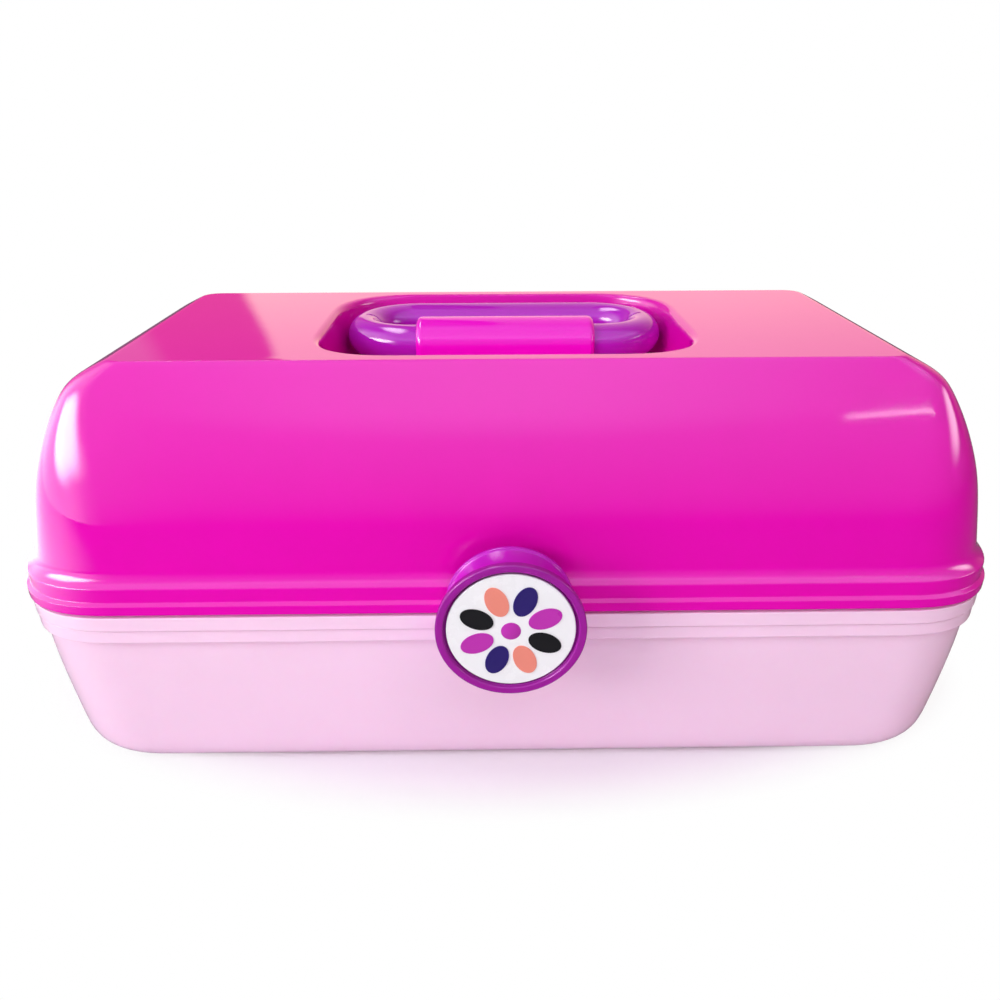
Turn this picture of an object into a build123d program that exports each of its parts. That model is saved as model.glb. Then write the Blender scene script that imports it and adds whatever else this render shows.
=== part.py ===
"""Makeup storage case with a folding handle, a drum latch, a mirror and a lift-up tray.

Frame: +X to the right, -Y to the front, +Z up, millimetres.
The origin is on the ground, under the centre of the case's body.
"""
from build123d import *
import math
import os

# ---------------------------------------------------------------- driving sizes

# Case outline, at its widest.
CASE_HALF_LENGTH = 164.4
CASE_HALF_DEPTH = 80.4
CASE_HEIGHT = 147.0
SEAM_HEIGHT = 71.1
SEAM_GAP = 0.2
WALL = 2.5

# Base wall: share of its height, then how far it lies inside the case's half
# length and half depth, and its plan corner radius.
BASE_FORM = [
    (0.0, 18.9, 18.6, 20.0),
    (0.0494, 12.2, 14.4, 22.0),
    (0.1483, 6.8, 11.2, 24.0),
    (0.3295, 4.4, 9.0, 26.0),
    (0.6590, 3.0, 6.2, 27.0),
    (1.0, 2.2, 3.4, 28.0),
]
BASE_STEPS = 12

# Lid dome: share of its height, then the shares of the way from the foot's
# half length, half depth and corner radius to the top's.
LID_FORM = [
    (0.0, 0.0, 0.0, 0.0),
    (0.2295, 0.1042, 0.0598, 0.1346),
    (0.4262, 0.1915, 0.2350, 0.3077),
    (0.6230, 0.3268, 0.4829, 0.5192),
    (0.7869, 0.4845, 0.7094, 0.7115),
    (0.9016, 0.6704, 0.8675, 0.8654),
    (1.0, 1.0, 1.0, 1.0),
]
LID_STEPS = 13
LID_FOOT_STEP = (3.6, 4.0, 30.5)
LID_TOP_END_INSET = 39.1
LID_TOP_CORNER = 4.5
TOP_LEDGE = 4.0
CREASE_REACH = 1.2
CREASE_STEPS = 4

# Rim bands: how far inside the case's half length and half depth, and corner
# radius; then heights.
RIM_STEP = (0.2, 0.2, 31.5)
RIM_BAND_HEIGHT = 4.8
SECOND_STEP = (1.0, 1.5, 30.0)
SECOND_BAND_HEIGHT = 5.8
SKIRT_STEP = (0.0, 0.0, 31.5)
SKIRT_BAND_HEIGHT = 4.1
BEAD_STEP = (1.0, 1.2, 31.0)
BEAD_HEIGHT = 5.3
SHOULDER_HEIGHT = 5.3
SHOULDER_COVE = 0.32
BAND_EDGE = 0.6
SKIRT_WALL = 2.2
LIP_HEIGHT = 3.5
LIP_WALL = 1.5
LIP_CLEARANCE = 0.4

# Handle, its saddle and the cradle under it.
HANDLE_TUBE_RADIUS = 7.25
HANDLE_DROP = 9.0
HANDLE_REACH = 38.0
HANDLE_STRAIGHT = 34.5
HANDLE_CLEARANCE = 0.3
SADDLE_HALF_LENGTH = 32.5
SADDLE_WALL = 2.6
SADDLE_END_RADIUS = 2.2
CRADLE_INSET = 3.0
CRADLE_GAP = 0.3
CLIP_LENGTH = 9.0
CLIP_THICKNESS = 1.6
CLIP_BARB = 0.9
CLIP_INSET = 10.5
CLIP_CLEARANCE = 0.2

# Handle well in the lid's top: the room that it leaves round the handle.
WELL_END_GAP = 3.25
WELL_BACK_GAP = 1.75
WELL_FLOOR_GAP = 3.25
WELL_FRONT_ROOM = 38.85
WELL_CORNER = 27.0
WELL_DRAFT = 10.0
WELL_RIM_RADIUS = 2.4
WELL_FLOOR_RADIUS = 4.0

# Lid hinge.
HINGE_OUTSET = 3.8
HINGE_X = 86.0
HINGE_LENGTH = 30.0
KNUCKLE_RADIUS = 3.2
KNUCKLE_GAP = 0.3
LID_KNUCKLE_LENGTH = 13.0
HINGE_PIN_RADIUS = 1.5
RUNNING_CLEARANCE = 0.06

# Drum latch.
LATCH_AXIS_RISE = 5.3
LATCH_GAP = 0.7
LATCH_DEPTH = 16.9
LATCH_FACE_RADIUS = 22.7
LATCH_FACE_THICKNESS = 2.6
LATCH_WAIST_RADIUS = 18.4
LATCH_WAIST_DEPTH = 8.5
LATCH_REAR_RADIUS = 19.6
LATCH_LIP_THICKNESS = 1.5
LATCH_LIP_STEP = 0.7
LATCH_WALL = 2.0
LATCH_PLATE = 2.0
LATCH_RING_WIDTH = 2.4
DISC_RECESS = 0.7
DISC_THICKNESS = 1.4
DISC_GAP = 0.5
LATCH_PIN_SETBACK = 4.9
LATCH_PIN_MARGIN = 3.5
LATCH_PIN_RADIUS = 1.5
LATCH_EAR_HALF_WIDTH = 5.6
LATCH_EAR_WALL = 1.9
LATCH_NOTCH_CLEARANCE = 0.6
LATCH_HOOK_HALF_WIDTH = 8.0
LATCH_HOOK_RISE = 8.1
LATCH_HOOK_THICKNESS = 2.4
LATCH_HOOK_ROOT = 0.5
LATCH_EDGE = 0.6
LATCH_BOWL = 0.2
DISC_EDGE = 0.4

# Tray: the room that it leaves inside the case.
TRAY_END_GAP = 14.4
TRAY_FRONT_GAP = 12.4
TRAY_BACK_GAP = 28.4
TRAY_CORNER = 22.0
TRAY_RISE = 6.9
TRAY_HEIGHT = 28.0
TRAY_WALL = 2.0
TRAY_DRAFT_INSET = 2.5
TRAY_COLUMNS = 3
TRAY_DIVIDER_DROP = 3.0

# Lifting linkage: pivots measured from the hinge's axis.
LID_PIVOT_REACH = 50.0
LID_PIVOT_RISE = 10.0
ARM_PIVOT_REACH = 60.0
ARM_PIVOT_DROP = 14.0
ARM_THICKNESS = 3.0
ARM_GAP = 1.6
ARM_END_RADIUS = 5.0
ARM_WAIST = 3.4
TRAY_LUG_RADIUS = 5.0
LINK_PIN_RADIUS = 2.0
LINK_PIN_HEAD_RADIUS = 2.9
LINK_PIN_HEAD = 0.8
LINK_SIDE_GAP = 0.3
LINK_PIN_BITE = 3.0
OPEN_PIVOT_CLEARANCE = 0.3
LINK_BOSS_RADIUS = 5.0

# Mirror under the well.
MIRROR_END_MARGIN = 14.0
MIRROR_SIDE_MARGIN = 12.0
MIRROR_CORNER = 6.0
MIRROR_THICKNESS = 2.0
MIRROR_LIP = 2.5
MIRROR_GAP = 0.15
MIRROR_LIP_THICKNESS = 1.0
MIRROR_FRAME_MARGIN = 8.5
MIRROR_FRAME_CORNER = 8.0
MIRROR_FRAME_EDGE = 1.2
MIRROR_BOSS_HEIGHT = 5.0
MIRROR_BOSS_RADIUS = 3.4
MIRROR_SCREW_INSET = 4.0
SCREW_RADIUS = 1.25
SCREW_HOLE_RADIUS = 1.5
SCREW_HEAD_RADIUS = 2.7
SCREW_HEAD_HEIGHT = 1.5
SCREW_BITE = 4.0
SCREW_SLOT = 0.6
SCREW_SLOT_LENGTH = 3.5

# ------------------------------------------------------------- worked-out sizes


def stepped(step):
    """Outline (half x, half y, corner) that lies inside the case's widest one."""
    inset_x, inset_y, corner = step
    return (CASE_HALF_LENGTH - inset_x, CASE_HALF_DEPTH - inset_y, corner)


RIM_BAND = stepped(RIM_STEP)
SECOND_BAND = stepped(SECOND_STEP)
SKIRT_BAND = stepped(SKIRT_STEP)
BEAD_BAND = stepped(BEAD_STEP)
LID_BOTTOM = SEAM_HEIGHT + SEAM_GAP
SKIRT_TOP = LID_BOTTOM + SKIRT_BAND_HEIGHT
BEAD_TOP = SKIRT_TOP + BEAD_HEIGHT
LID_FOOT_HEIGHT = BEAD_TOP + SHOULDER_HEIGHT
BASE_WALL_TOP = SEAM_HEIGHT - RIM_BAND_HEIGHT - SECOND_BAND_HEIGHT
SADDLE_BORE = HANDLE_TUBE_RADIUS + HANDLE_CLEARANCE
SADDLE_RADIUS = SADDLE_BORE + SADDLE_WALL
HANDLE_PIVOT_HEIGHT = CASE_HEIGHT - HANDLE_DROP
WELL_DEPTH = HANDLE_DROP + HANDLE_TUBE_RADIUS + WELL_FLOOR_GAP
WELL_HALF_LENGTH = HANDLE_STRAIGHT + HANDLE_REACH / 2 + HANDLE_TUBE_RADIUS + WELL_END_GAP
WELL_FRONT = -SADDLE_RADIUS - WELL_FRONT_ROOM
WELL_BACK = HANDLE_REACH + HANDLE_TUBE_RADIUS + WELL_BACK_GAP
WELL_FLOOR = CASE_HEIGHT - WELL_DEPTH
WELL_UNDERSIDE = WELL_FLOOR - WALL
WELL_CENTRE_Y = (WELL_FRONT + WELL_BACK) / 2
WELL_HALF_DEPTH = (WELL_BACK - WELL_FRONT) / 2
WELL_DRAFT_INSET = WELL_DEPTH * math.tan(math.radians(WELL_DRAFT))
LID_FOOT = stepped(LID_FOOT_STEP)
LID_TOP = (
    CASE_HALF_LENGTH - LID_TOP_END_INSET,
    max(WELL_BACK, -WELL_FRONT) + TOP_LEDGE,
    LID_TOP_CORNER,
)
HINGE_Y = CASE_HALF_DEPTH + HINGE_OUTSET
LATCH_AXIS_HEIGHT = SEAM_HEIGHT + LATCH_AXIS_RISE
LATCH_BACK_Y = -CASE_HALF_DEPTH - LATCH_GAP
LATCH_FRONT_Y = LATCH_BACK_Y - LATCH_DEPTH
LATCH_WAIST_Y = LATCH_FRONT_Y + LATCH_WAIST_DEPTH
LATCH_PIN_Y = LATCH_BACK_Y - LATCH_PIN_SETBACK
LATCH_PIN_HEIGHT = LATCH_AXIS_HEIGHT - LATCH_WAIST_RADIUS + LATCH_PIN_MARGIN
LATCH_EAR_RADIUS = LATCH_PIN_RADIUS + LATCH_EAR_WALL
LATCH_HOOK_HEIGHT = LATCH_AXIS_HEIGHT + LATCH_HOOK_RISE
TRAY_HALF_LENGTH = CASE_HALF_LENGTH - TRAY_END_GAP
TRAY_FRONT = -CASE_HALF_DEPTH + TRAY_FRONT_GAP
TRAY_BACK = CASE_HALF_DEPTH - TRAY_BACK_GAP
TRAY_TOP = SEAM_HEIGHT + TRAY_RISE
TRAY_BOTTOM = TRAY_TOP - TRAY_HEIGHT
TRAY_CENTRE_Y = (TRAY_FRONT + TRAY_BACK) / 2
TRAY_HALF_DEPTH = (TRAY_BACK - TRAY_FRONT) / 2
TRAY_LID_PIVOT = (HINGE_Y - LID_PIVOT_REACH, SEAM_HEIGHT + LID_PIVOT_RISE)
ARM_BASE_PIVOT = (HINGE_Y - ARM_PIVOT_REACH, SEAM_HEIGHT - ARM_PIVOT_DROP)
ARM_TRAY_PIVOT = (
    TRAY_LID_PIVOT[0] + ARM_BASE_PIVOT[0] - HINGE_Y,
    TRAY_LID_PIVOT[1] + ARM_BASE_PIVOT[1] - SEAM_HEIGHT,
)
ARM_INNER_X = TRAY_HALF_LENGTH + ARM_GAP
ARM_OUTER_X = ARM_INNER_X + ARM_THICKNESS
LINK_BOSS_X = ARM_OUTER_X + LINK_SIDE_GAP
LID_BOSS_X = TRAY_HALF_LENGTH + LINK_SIDE_GAP
MIRROR_HALF_LENGTH = WELL_HALF_LENGTH - MIRROR_END_MARGIN
MIRROR_FRONT = WELL_FRONT + MIRROR_SIDE_MARGIN
MIRROR_BACK = WELL_BACK - MIRROR_SIDE_MARGIN
MIRROR_CENTRE_Y = (MIRROR_FRONT + MIRROR_BACK) / 2
MIRROR_HALF_DEPTH = (MIRROR_BACK - MIRROR_FRONT) / 2
MIRROR_FRAME_TOP = WELL_UNDERSIDE - MIRROR_BOSS_HEIGHT
MIRROR_FRAME_THICKNESS = MIRROR_THICKNESS + MIRROR_LIP_THICKNESS
MIRROR_FRAME_BOTTOM = MIRROR_FRAME_TOP - MIRROR_FRAME_THICKNESS


def base_sections():
    """Sections (height, half x, half y, corner) of the base's wall."""
    return [(share * BASE_WALL_TOP, *stepped(step)) for share, *step in BASE_FORM]


def lid_sections():
    """Sections (height, half x, half y, corner) of the lid's dome."""
    sections = []
    for share, *ways in LID_FORM:
        height = LID_FOOT_HEIGHT + share * (CASE_HEIGHT - LID_FOOT_HEIGHT)
        outline = [
            foot + way * (top - foot) for foot, top, way in zip(LID_FOOT, LID_TOP, ways)
        ]
        sections.append((height, *outline))
    return sections


BASE_OUTLINE = base_sections()
LID_OUTLINE = lid_sections()


# --------------------------------------------------------------------- helpers


def rounded(half_x, half_y, corner, height, centre_y=0.0):
    """A rounded rectangle lying level at a height."""
    return Pos(0, centre_y, height) * RectangleRounded(2 * half_x, 2 * half_y, corner)


def slab(outline, low, high, centre_y=0.0):
    """A level slab with a rounded-rectangle outline (half x, half y, corner)."""
    half_x, half_y, corner = outline
    return extrude(rounded(half_x, half_y, corner, low, centre_y), high - low)


def inset(outline, amount):
    """The same rounded-rectangle outline, moved inwards."""
    half_x, half_y, corner = outline
    return (half_x - amount, half_y - amount, max(corner - amount, 1.0))


def between(sections, height, column):
    """A column of the section table, read at a height by straight lines."""
    for lower, upper in zip(sections, sections[1:]):
        if height <= upper[0]:
            share = (height - lower[0]) / (upper[0] - lower[0])
            return lower[column] + share * (upper[column] - lower[column])
    return sections[-1][column]


def wall_path(sections, steps):
    """Places (half x, half y, height, corner) along a spline through the table."""
    points = [(half_x, half_y, height) for height, half_x, half_y, corner in sections]
    curve = Spline(*points)
    path = []
    for step in range(steps + 1):
        point = curve @ (step / steps)
        path.append((point.X, point.Y, point.Z, between(sections, point.Z, 3)))
    return path


def creased(path):
    """The path with its last corner, at the flat top, softly rounded."""
    before, top = path[-2:]
    share = CREASE_REACH / math.dist(before[:3], top[:3])
    start = [there + share * (here - there) for there, here in zip(top, before)]
    half_x, half_y, height, corner = top
    end = (half_x - CREASE_REACH, half_y - CREASE_REACH, height, corner - CREASE_REACH)
    bend = []
    for step in range(CREASE_STEPS + 1):
        t = step / CREASE_STEPS
        weights = ((1 - t) ** 2, 2 * t * (1 - t), t ** 2)
        bend.append(tuple(
            sum(weight * place[column] for weight, place in zip(weights, (start, top, end)))
            for column in range(4)
        ))
    return path[:-1] + bend


def skin(path, inwards=0.0, lift=0.0):
    """A body whose level outline follows a path of places."""
    faces = []
    for half_x, half_y, height, corner in path:
        outline = inset((half_x, half_y, corner), inwards)
        faces.append(rounded(*outline, height + lift))
    return loft(faces, ruled=True)


def rod_x(radius, x_low, x_high, y, z):
    """A round bar along X."""
    plane = Plane(origin=(x_low, y, z), z_dir=(1, 0, 0))
    return extrude(plane * Circle(radius), x_high - x_low)


def rod_z(radius, x, y, z_low, z_high):
    """A round bar along Z."""
    return extrude(Pos(x, y, z_low) * Circle(radius), z_high - z_low)


def block(x_low, x_high, y_low, y_high, z_low, z_high):
    """A plain box between two corners."""
    centre = Pos((x_low + x_high) / 2, (y_low + y_high) / 2, (z_low + z_high) / 2)
    return centre * Box(x_high - x_low, y_high - y_low, z_high - z_low)


def mirrored(shape):
    """The same shape on the other side of the case's middle plane."""
    return mirror(shape, Plane.YZ)


def both_sides(shape):
    """A shape and its twin across the case's middle plane."""
    return [shape, mirrored(shape)]


def hinge_spans():
    """X spans of one hinge: the two base knuckles and the lid's one."""
    half_lid = LID_KNUCKLE_LENGTH / 2
    left = (HINGE_X - HINGE_LENGTH / 2, HINGE_X - half_lid - KNUCKLE_GAP)
    right = (HINGE_X + half_lid + KNUCKLE_GAP, HINGE_X + HINGE_LENGTH / 2)
    middle = (HINGE_X - half_lid, HINGE_X + half_lid)
    return [left, right], middle


# ------------------------------------------------------------------ base shell


def knuckle(span, wall_y, web_low, web_high, bore):
    """A hinge knuckle with the web that ties it to a rim."""
    low, high = span
    barrel = rod_x(KNUCKLE_RADIUS, low, high, HINGE_Y, SEAM_HEIGHT)
    web = block(low, high, wall_y, HINGE_Y, web_low, web_high)
    return (barrel + web) - rod_x(bore, low, high, HINGE_Y, SEAM_HEIGHT)


def latch_ear():
    """The lug on the base's front that carries the latch pin."""
    half = LATCH_EAR_HALF_WIDTH
    wall_y = -RIM_BAND[1] + WALL
    nose = rod_x(LATCH_EAR_RADIUS, -half, half, LATCH_PIN_Y, LATCH_PIN_HEIGHT)
    root = block(
        -half, half, LATCH_PIN_Y, wall_y,
        LATCH_PIN_HEIGHT - LATCH_EAR_RADIUS, LATCH_PIN_HEIGHT + LATCH_EAR_RADIUS,
    )
    bore = LATCH_PIN_RADIUS + RUNNING_CLEARANCE
    return (nose + root) - rod_x(bore, -half, half, LATCH_PIN_Y, LATCH_PIN_HEIGHT)


def make_base_shell():
    rim_low = SEAM_HEIGHT - RIM_BAND_HEIGHT
    lip_outer = inset(SKIRT_BAND, SKIRT_WALL + LIP_CLEARANCE)
    lip_inner = inset(lip_outer, LIP_WALL)

    wall = wall_path(BASE_OUTLINE, BASE_STEPS)
    shell = skin(wall)
    second = slab(SECOND_BAND, BASE_WALL_TOP, rim_low)
    second = chamfer(second.faces().sort_by(Axis.Z)[0].edges(), BAND_EDGE)
    rim = slab(RIM_BAND, rim_low, SEAM_HEIGHT)
    rim = fillet(rim.faces().sort_by(Axis.Z)[-1].edges(), BAND_EDGE)
    lip = slab(lip_outer, SEAM_HEIGHT, SEAM_HEIGHT + LIP_HEIGHT)
    lip = fillet(lip.faces().sort_by(Axis.Z)[-1].edges(), BAND_EDGE)
    shell = shell + second + rim + lip

    for span in hinge_spans()[0]:
        piece = knuckle(
            span, RIM_BAND[1] - WALL, SEAM_HEIGHT - KNUCKLE_RADIUS,
            SEAM_HEIGHT - KNUCKLE_GAP, HINGE_PIN_RADIUS,
        )
        for side in both_sides(piece):
            shell = shell + side
    shell = shell + latch_ear()

    hollow = skin(wall, WALL, WALL)
    shelf = BASE_WALL_TOP + WALL
    mouth = slab(lip_inner, shelf, SEAM_HEIGHT + LIP_HEIGHT + 1)
    shell = shell - hollow - mouth

    y, z = ARM_BASE_PIVOT
    boss = rod_x(LINK_BOSS_RADIUS, LINK_BOSS_X, RIM_BAND[0] - WALL, y, z)
    boss = boss - rod_x(LINK_PIN_RADIUS, LINK_BOSS_X, LINK_BOSS_X + LINK_PIN_BITE, y, z)
    for side in both_sides(boss):
        shell = shell + side
    return shell


# ------------------------------------------------------------------- lid shell


def well_hollow(grow=0.0):
    """The handle well's space, or with its wall added all round."""
    top = rounded(
        WELL_HALF_LENGTH + grow, WELL_HALF_DEPTH + grow, WELL_CORNER + grow,
        CASE_HEIGHT + grow, WELL_CENTRE_Y,
    )
    low_half_x = WELL_HALF_LENGTH - WELL_DRAFT_INSET + grow
    low_half_y = WELL_HALF_DEPTH - WELL_DRAFT_INSET + grow
    low_corner = WELL_CORNER - WELL_DRAFT_INSET + grow
    low = rounded(low_half_x, low_half_y, low_corner, WELL_FLOOR - grow, WELL_CENTRE_Y)
    space = loft([low, top])
    return fillet(space.faces().sort_by(Axis.Z)[0].edges(), WELL_FLOOR_RADIUS + grow)


def cradle():
    """The rib in the well that the handle's bar lies on."""
    half_x = SADDLE_HALF_LENGTH - CRADLE_INSET
    half_y = SADDLE_BORE - CRADLE_GAP
    rib = block(-half_x, half_x, -half_y, half_y, WELL_UNDERSIDE, HANDLE_PIVOT_HEIGHT)
    seat = rod_x(SADDLE_BORE, -half_x, half_x, 0, HANDLE_PIVOT_HEIGHT)
    return rib - seat


def clip_places():
    """Centres (x, y) of the saddle's snap clips."""
    leg_y = SADDLE_RADIUS - SADDLE_WALL / 2
    places = []
    clip_x = SADDLE_HALF_LENGTH - CLIP_INSET
    for x in (-clip_x, clip_x):
        for y in (-leg_y, leg_y):
            places.append((x, y))
    return places


def mirror_screw_places():
    """Centres (x, y) of the screws that hold the mirror frame."""
    x = MIRROR_HALF_LENGTH + MIRROR_SCREW_INSET
    places = []
    for side in (-x, x):
        places.append((side, MIRROR_FRONT + MIRROR_SCREW_INSET))
        places.append((side, MIRROR_BACK - MIRROR_SCREW_INSET))
    return places


def make_lid_shell():
    wall = wall_path(LID_OUTLINE, LID_STEPS)
    body = skin(creased(wall))
    first = LID_OUTLINE[0]
    shoulder = (
        (BEAD_TOP + first[0]) / 2,
        first[1] + SHOULDER_COVE * (BEAD_BAND[0] - first[1]),
        first[2] + SHOULDER_COVE * (BEAD_BAND[1] - first[2]),
        BEAD_BAND[2],
    )
    bead_top = loft([
        rounded(*BEAD_BAND, BEAD_TOP),
        rounded(*shoulder[1:], shoulder[0]),
        rounded(*first[1:], first[0]),
    ])
    bead = slab(BEAD_BAND, SKIRT_TOP, BEAD_TOP)
    band = slab(SKIRT_BAND, LID_BOTTOM, SKIRT_TOP)
    band = chamfer(band.faces().sort_by(Axis.Z)[-1].edges(), BAND_EDGE)
    shell = body + bead_top + bead + band
    outside = shell

    hollow = skin(wall, WALL, -WALL)
    skirt_inner = inset(SKIRT_BAND, SKIRT_WALL)
    mouth = slab(skirt_inner, LID_BOTTOM, SKIRT_TOP)
    throat = loft([
        rounded(*skirt_inner, SKIRT_TOP),
        rounded(*inset(first[1:], WALL), first[0] - WALL),
    ])
    shell = shell - hollow - mouth - throat

    shell = shell + (well_hollow(WALL) & outside)
    shell = shell - well_hollow()
    rim_edges = shell.edges().filter_by_position(
        Axis.Z, CASE_HEIGHT - 0.01, CASE_HEIGHT + 0.01
    ).filter_by_position(
        Axis.X, -WELL_HALF_LENGTH - 0.01, WELL_HALF_LENGTH + 0.01
    ).filter_by_position(Axis.Y, WELL_FRONT - 0.01, WELL_BACK + 0.01)
    shell = fillet(rim_edges, WELL_RIM_RADIUS)

    shell = shell + cradle()
    slot = CLIP_LENGTH / 2 + CLIP_CLEARANCE
    for x, y in clip_places():
        half = CLIP_THICKNESS / 2 + CLIP_CLEARANCE
        shell = shell - block(
            x - slot, x + slot, y - half, y + half, WELL_UNDERSIDE, WELL_FLOOR
        )

    for x, y in mirror_screw_places():
        boss = rod_z(MIRROR_BOSS_RADIUS, x, y, MIRROR_FRAME_TOP, WELL_UNDERSIDE + WALL / 2)
        shell = shell + boss
        shell = shell - rod_z(
            SCREW_RADIUS, x, y, MIRROR_FRAME_TOP, MIRROR_FRAME_TOP + SCREW_BITE
        )

    span = hinge_spans()[1]
    piece = knuckle(
        span, SKIRT_BAND[1] - SKIRT_WALL / 2, SEAM_HEIGHT + KNUCKLE_GAP,
        SEAM_HEIGHT + KNUCKLE_RADIUS, HINGE_PIN_RADIUS + RUNNING_CLEARANCE,
    )
    for side in both_sides(piece):
        shell = shell + side

    y, z = TRAY_LID_PIVOT
    boss = rod_x(LINK_BOSS_RADIUS, LID_BOSS_X, LID_FOOT[0] - WALL / 2, y, z)
    boss = boss - rod_x(LINK_PIN_RADIUS, LID_BOSS_X, LID_BOSS_X + LINK_PIN_BITE, y, z)
    for side in both_sides(boss):
        shell = shell + side
    return shell


# ---------------------------------------------------------- handle and saddle


def make_handle():
    """A level loop of round tube; its front bar is the pivot."""
    z = HANDLE_PIVOT_HEIGHT
    end = HANDLE_STRAIGHT
    reach = HANDLE_REACH
    bend = reach / 2
    path = Wire([
        Line((0, 0, z), (end, 0, z)),
        ThreePointArc((end, 0, z), (end + bend, bend, z), (end, reach, z)),
        Line((end, reach, z), (-end, reach, z)),
        ThreePointArc((-end, reach, z), (-end - bend, bend, z), (-end, 0, z)),
        Line((-end, 0, z), (0, 0, z)),
    ])
    tube = Plane(origin=(0, 0, z), z_dir=(1, 0, 0)) * Circle(HANDLE_TUBE_RADIUS)
    return sweep(tube, path)


def make_handle_saddle():
    """The half-round cover that traps the bar, with snap clips below."""
    half_x = SADDLE_HALF_LENGTH
    dome = rod_x(SADDLE_RADIUS, -half_x, half_x, 0, HANDLE_PIVOT_HEIGHT)
    legs = block(
        -half_x, half_x, -SADDLE_RADIUS, SADDLE_RADIUS, WELL_FLOOR, HANDLE_PIVOT_HEIGHT
    )
    above = block(
        -half_x, half_x, -SADDLE_RADIUS, SADDLE_RADIUS,
        WELL_FLOOR, HANDLE_PIVOT_HEIGHT + SADDLE_RADIUS,
    )
    saddle = (dome + legs) & above
    ends = saddle.faces().sort_by(Axis.X)
    end_edges = ends[0].edges() + ends[-1].edges()
    end_edges = end_edges.filter_by_position(
        Axis.Z, WELL_FLOOR + 0.01, HANDLE_PIVOT_HEIGHT + 2 * SADDLE_RADIUS
    )
    saddle = fillet(end_edges, SADDLE_END_RADIUS)
    saddle = saddle - rod_x(SADDLE_BORE, -half_x, half_x, 0, HANDLE_PIVOT_HEIGHT)
    saddle = saddle - block(
        -half_x, half_x, -SADDLE_BORE, SADDLE_BORE, WELL_FLOOR, HANDLE_PIVOT_HEIGHT
    )
    for x, y in clip_places():
        outwards = math.copysign(1, y)
        low = WELL_UNDERSIDE - CLIP_THICKNESS
        half = CLIP_THICKNESS / 2
        clip = block(
            x - CLIP_LENGTH / 2, x + CLIP_LENGTH / 2, y - half, y + half, low, WELL_FLOOR
        )
        reach = half + CLIP_CLEARANCE + CLIP_BARB
        barb_low = min(y, y + outwards * reach)
        barb_high = max(y, y + outwards * reach)
        barb = block(
            x - CLIP_LENGTH / 2, x + CLIP_LENGTH / 2, barb_low, barb_high,
            low, WELL_UNDERSIDE,
        )
        saddle = saddle + clip + barb
    return saddle


# ----------------------------------------------------------------------- latch


def make_latch_body():
    """A hollow drum with a waist, lying along Y, that turns about its low pin."""
    depth = LATCH_FRONT_Y
    face_back = depth + LATCH_FACE_THICKNESS
    plate_y = depth + DISC_RECESS + DISC_THICKNESS
    plate_back = plate_y + LATCH_PLATE
    ring = LATCH_FACE_RADIUS - LATCH_RING_WIDTH
    inner_rear = LATCH_REAR_RADIUS - LATCH_WALL
    inner_waist = LATCH_WAIST_RADIUS - LATCH_WALL
    edge = LATCH_EDGE

    outline = Polyline(
        (0, plate_y), (ring, plate_y), (ring, depth),
        (LATCH_FACE_RADIUS - edge, depth), (LATCH_FACE_RADIUS, depth + edge),
        (LATCH_FACE_RADIUS, face_back - edge), (LATCH_FACE_RADIUS - edge, face_back),
    )
    start = (LATCH_FACE_RADIUS - edge, face_back)
    waist = (LATCH_WAIST_RADIUS, LATCH_WAIST_Y)
    neck = (LATCH_REAR_RADIUS - LATCH_LIP_STEP, LATCH_BACK_Y - LATCH_LIP_THICKNESS)
    outside = ThreePointArc(start, waist, neck)
    round_off = LATCH_LIP_STEP / 2
    lip = Polyline(
        neck, (LATCH_REAR_RADIUS, neck[1] + round_off),
        (LATCH_REAR_RADIUS, LATCH_BACK_Y - round_off),
        (LATCH_REAR_RADIUS - round_off, LATCH_BACK_Y),
    )
    inner_front = (inner_waist, plate_back)
    inside = ThreePointArc(
        (inner_rear, LATCH_BACK_Y), (inner_waist - LATCH_BOWL, LATCH_WAIST_Y), inner_front
    )
    rear_face = Line((LATCH_REAR_RADIUS - round_off, LATCH_BACK_Y), (inner_rear, LATCH_BACK_Y))
    cup = Polyline(inner_front, (0, plate_back), (0, plate_y))
    profile = make_face([outline, outside, lip, rear_face, inside, cup])
    drum = revolve(profile, Axis.Y)
    drum = Pos(0, 0, LATCH_AXIS_HEIGHT) * drum

    notch_half = LATCH_EAR_HALF_WIDTH + LATCH_NOTCH_CLEARANCE
    notch_front = LATCH_PIN_Y - LATCH_EAR_RADIUS - LATCH_NOTCH_CLEARANCE
    notch_top = LATCH_PIN_HEIGHT + LATCH_EAR_RADIUS
    drum = drum - block(
        -notch_half, notch_half, notch_front, LATCH_BACK_Y + 1,
        LATCH_AXIS_HEIGHT - LATCH_FACE_RADIUS, notch_top,
    )

    hook_bottom = LATCH_HOOK_HEIGHT - LATCH_HOOK_THICKNESS
    hook = block(
        -LATCH_HOOK_HALF_WIDTH, LATCH_HOOK_HALF_WIDTH, plate_back - LATCH_HOOK_ROOT,
        LATCH_BACK_Y,
        hook_bottom, LATCH_HOOK_HEIGHT,
    )
    drum = drum + hook
    reach = latch_pin_half_length()
    return drum - rod_x(LATCH_PIN_RADIUS, -reach, reach, LATCH_PIN_Y, LATCH_PIN_HEIGHT)


def latch_pin_half_length():
    """The pin ends just inside the drum's outer skin."""
    drop = LATCH_AXIS_HEIGHT - LATCH_PIN_HEIGHT + LATCH_PIN_RADIUS
    return math.sqrt(LATCH_WAIST_RADIUS ** 2 - drop ** 2)


def make_latch_pin():
    half = latch_pin_half_length()
    return rod_x(LATCH_PIN_RADIUS, -half, half, LATCH_PIN_Y, LATCH_PIN_HEIGHT)


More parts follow.
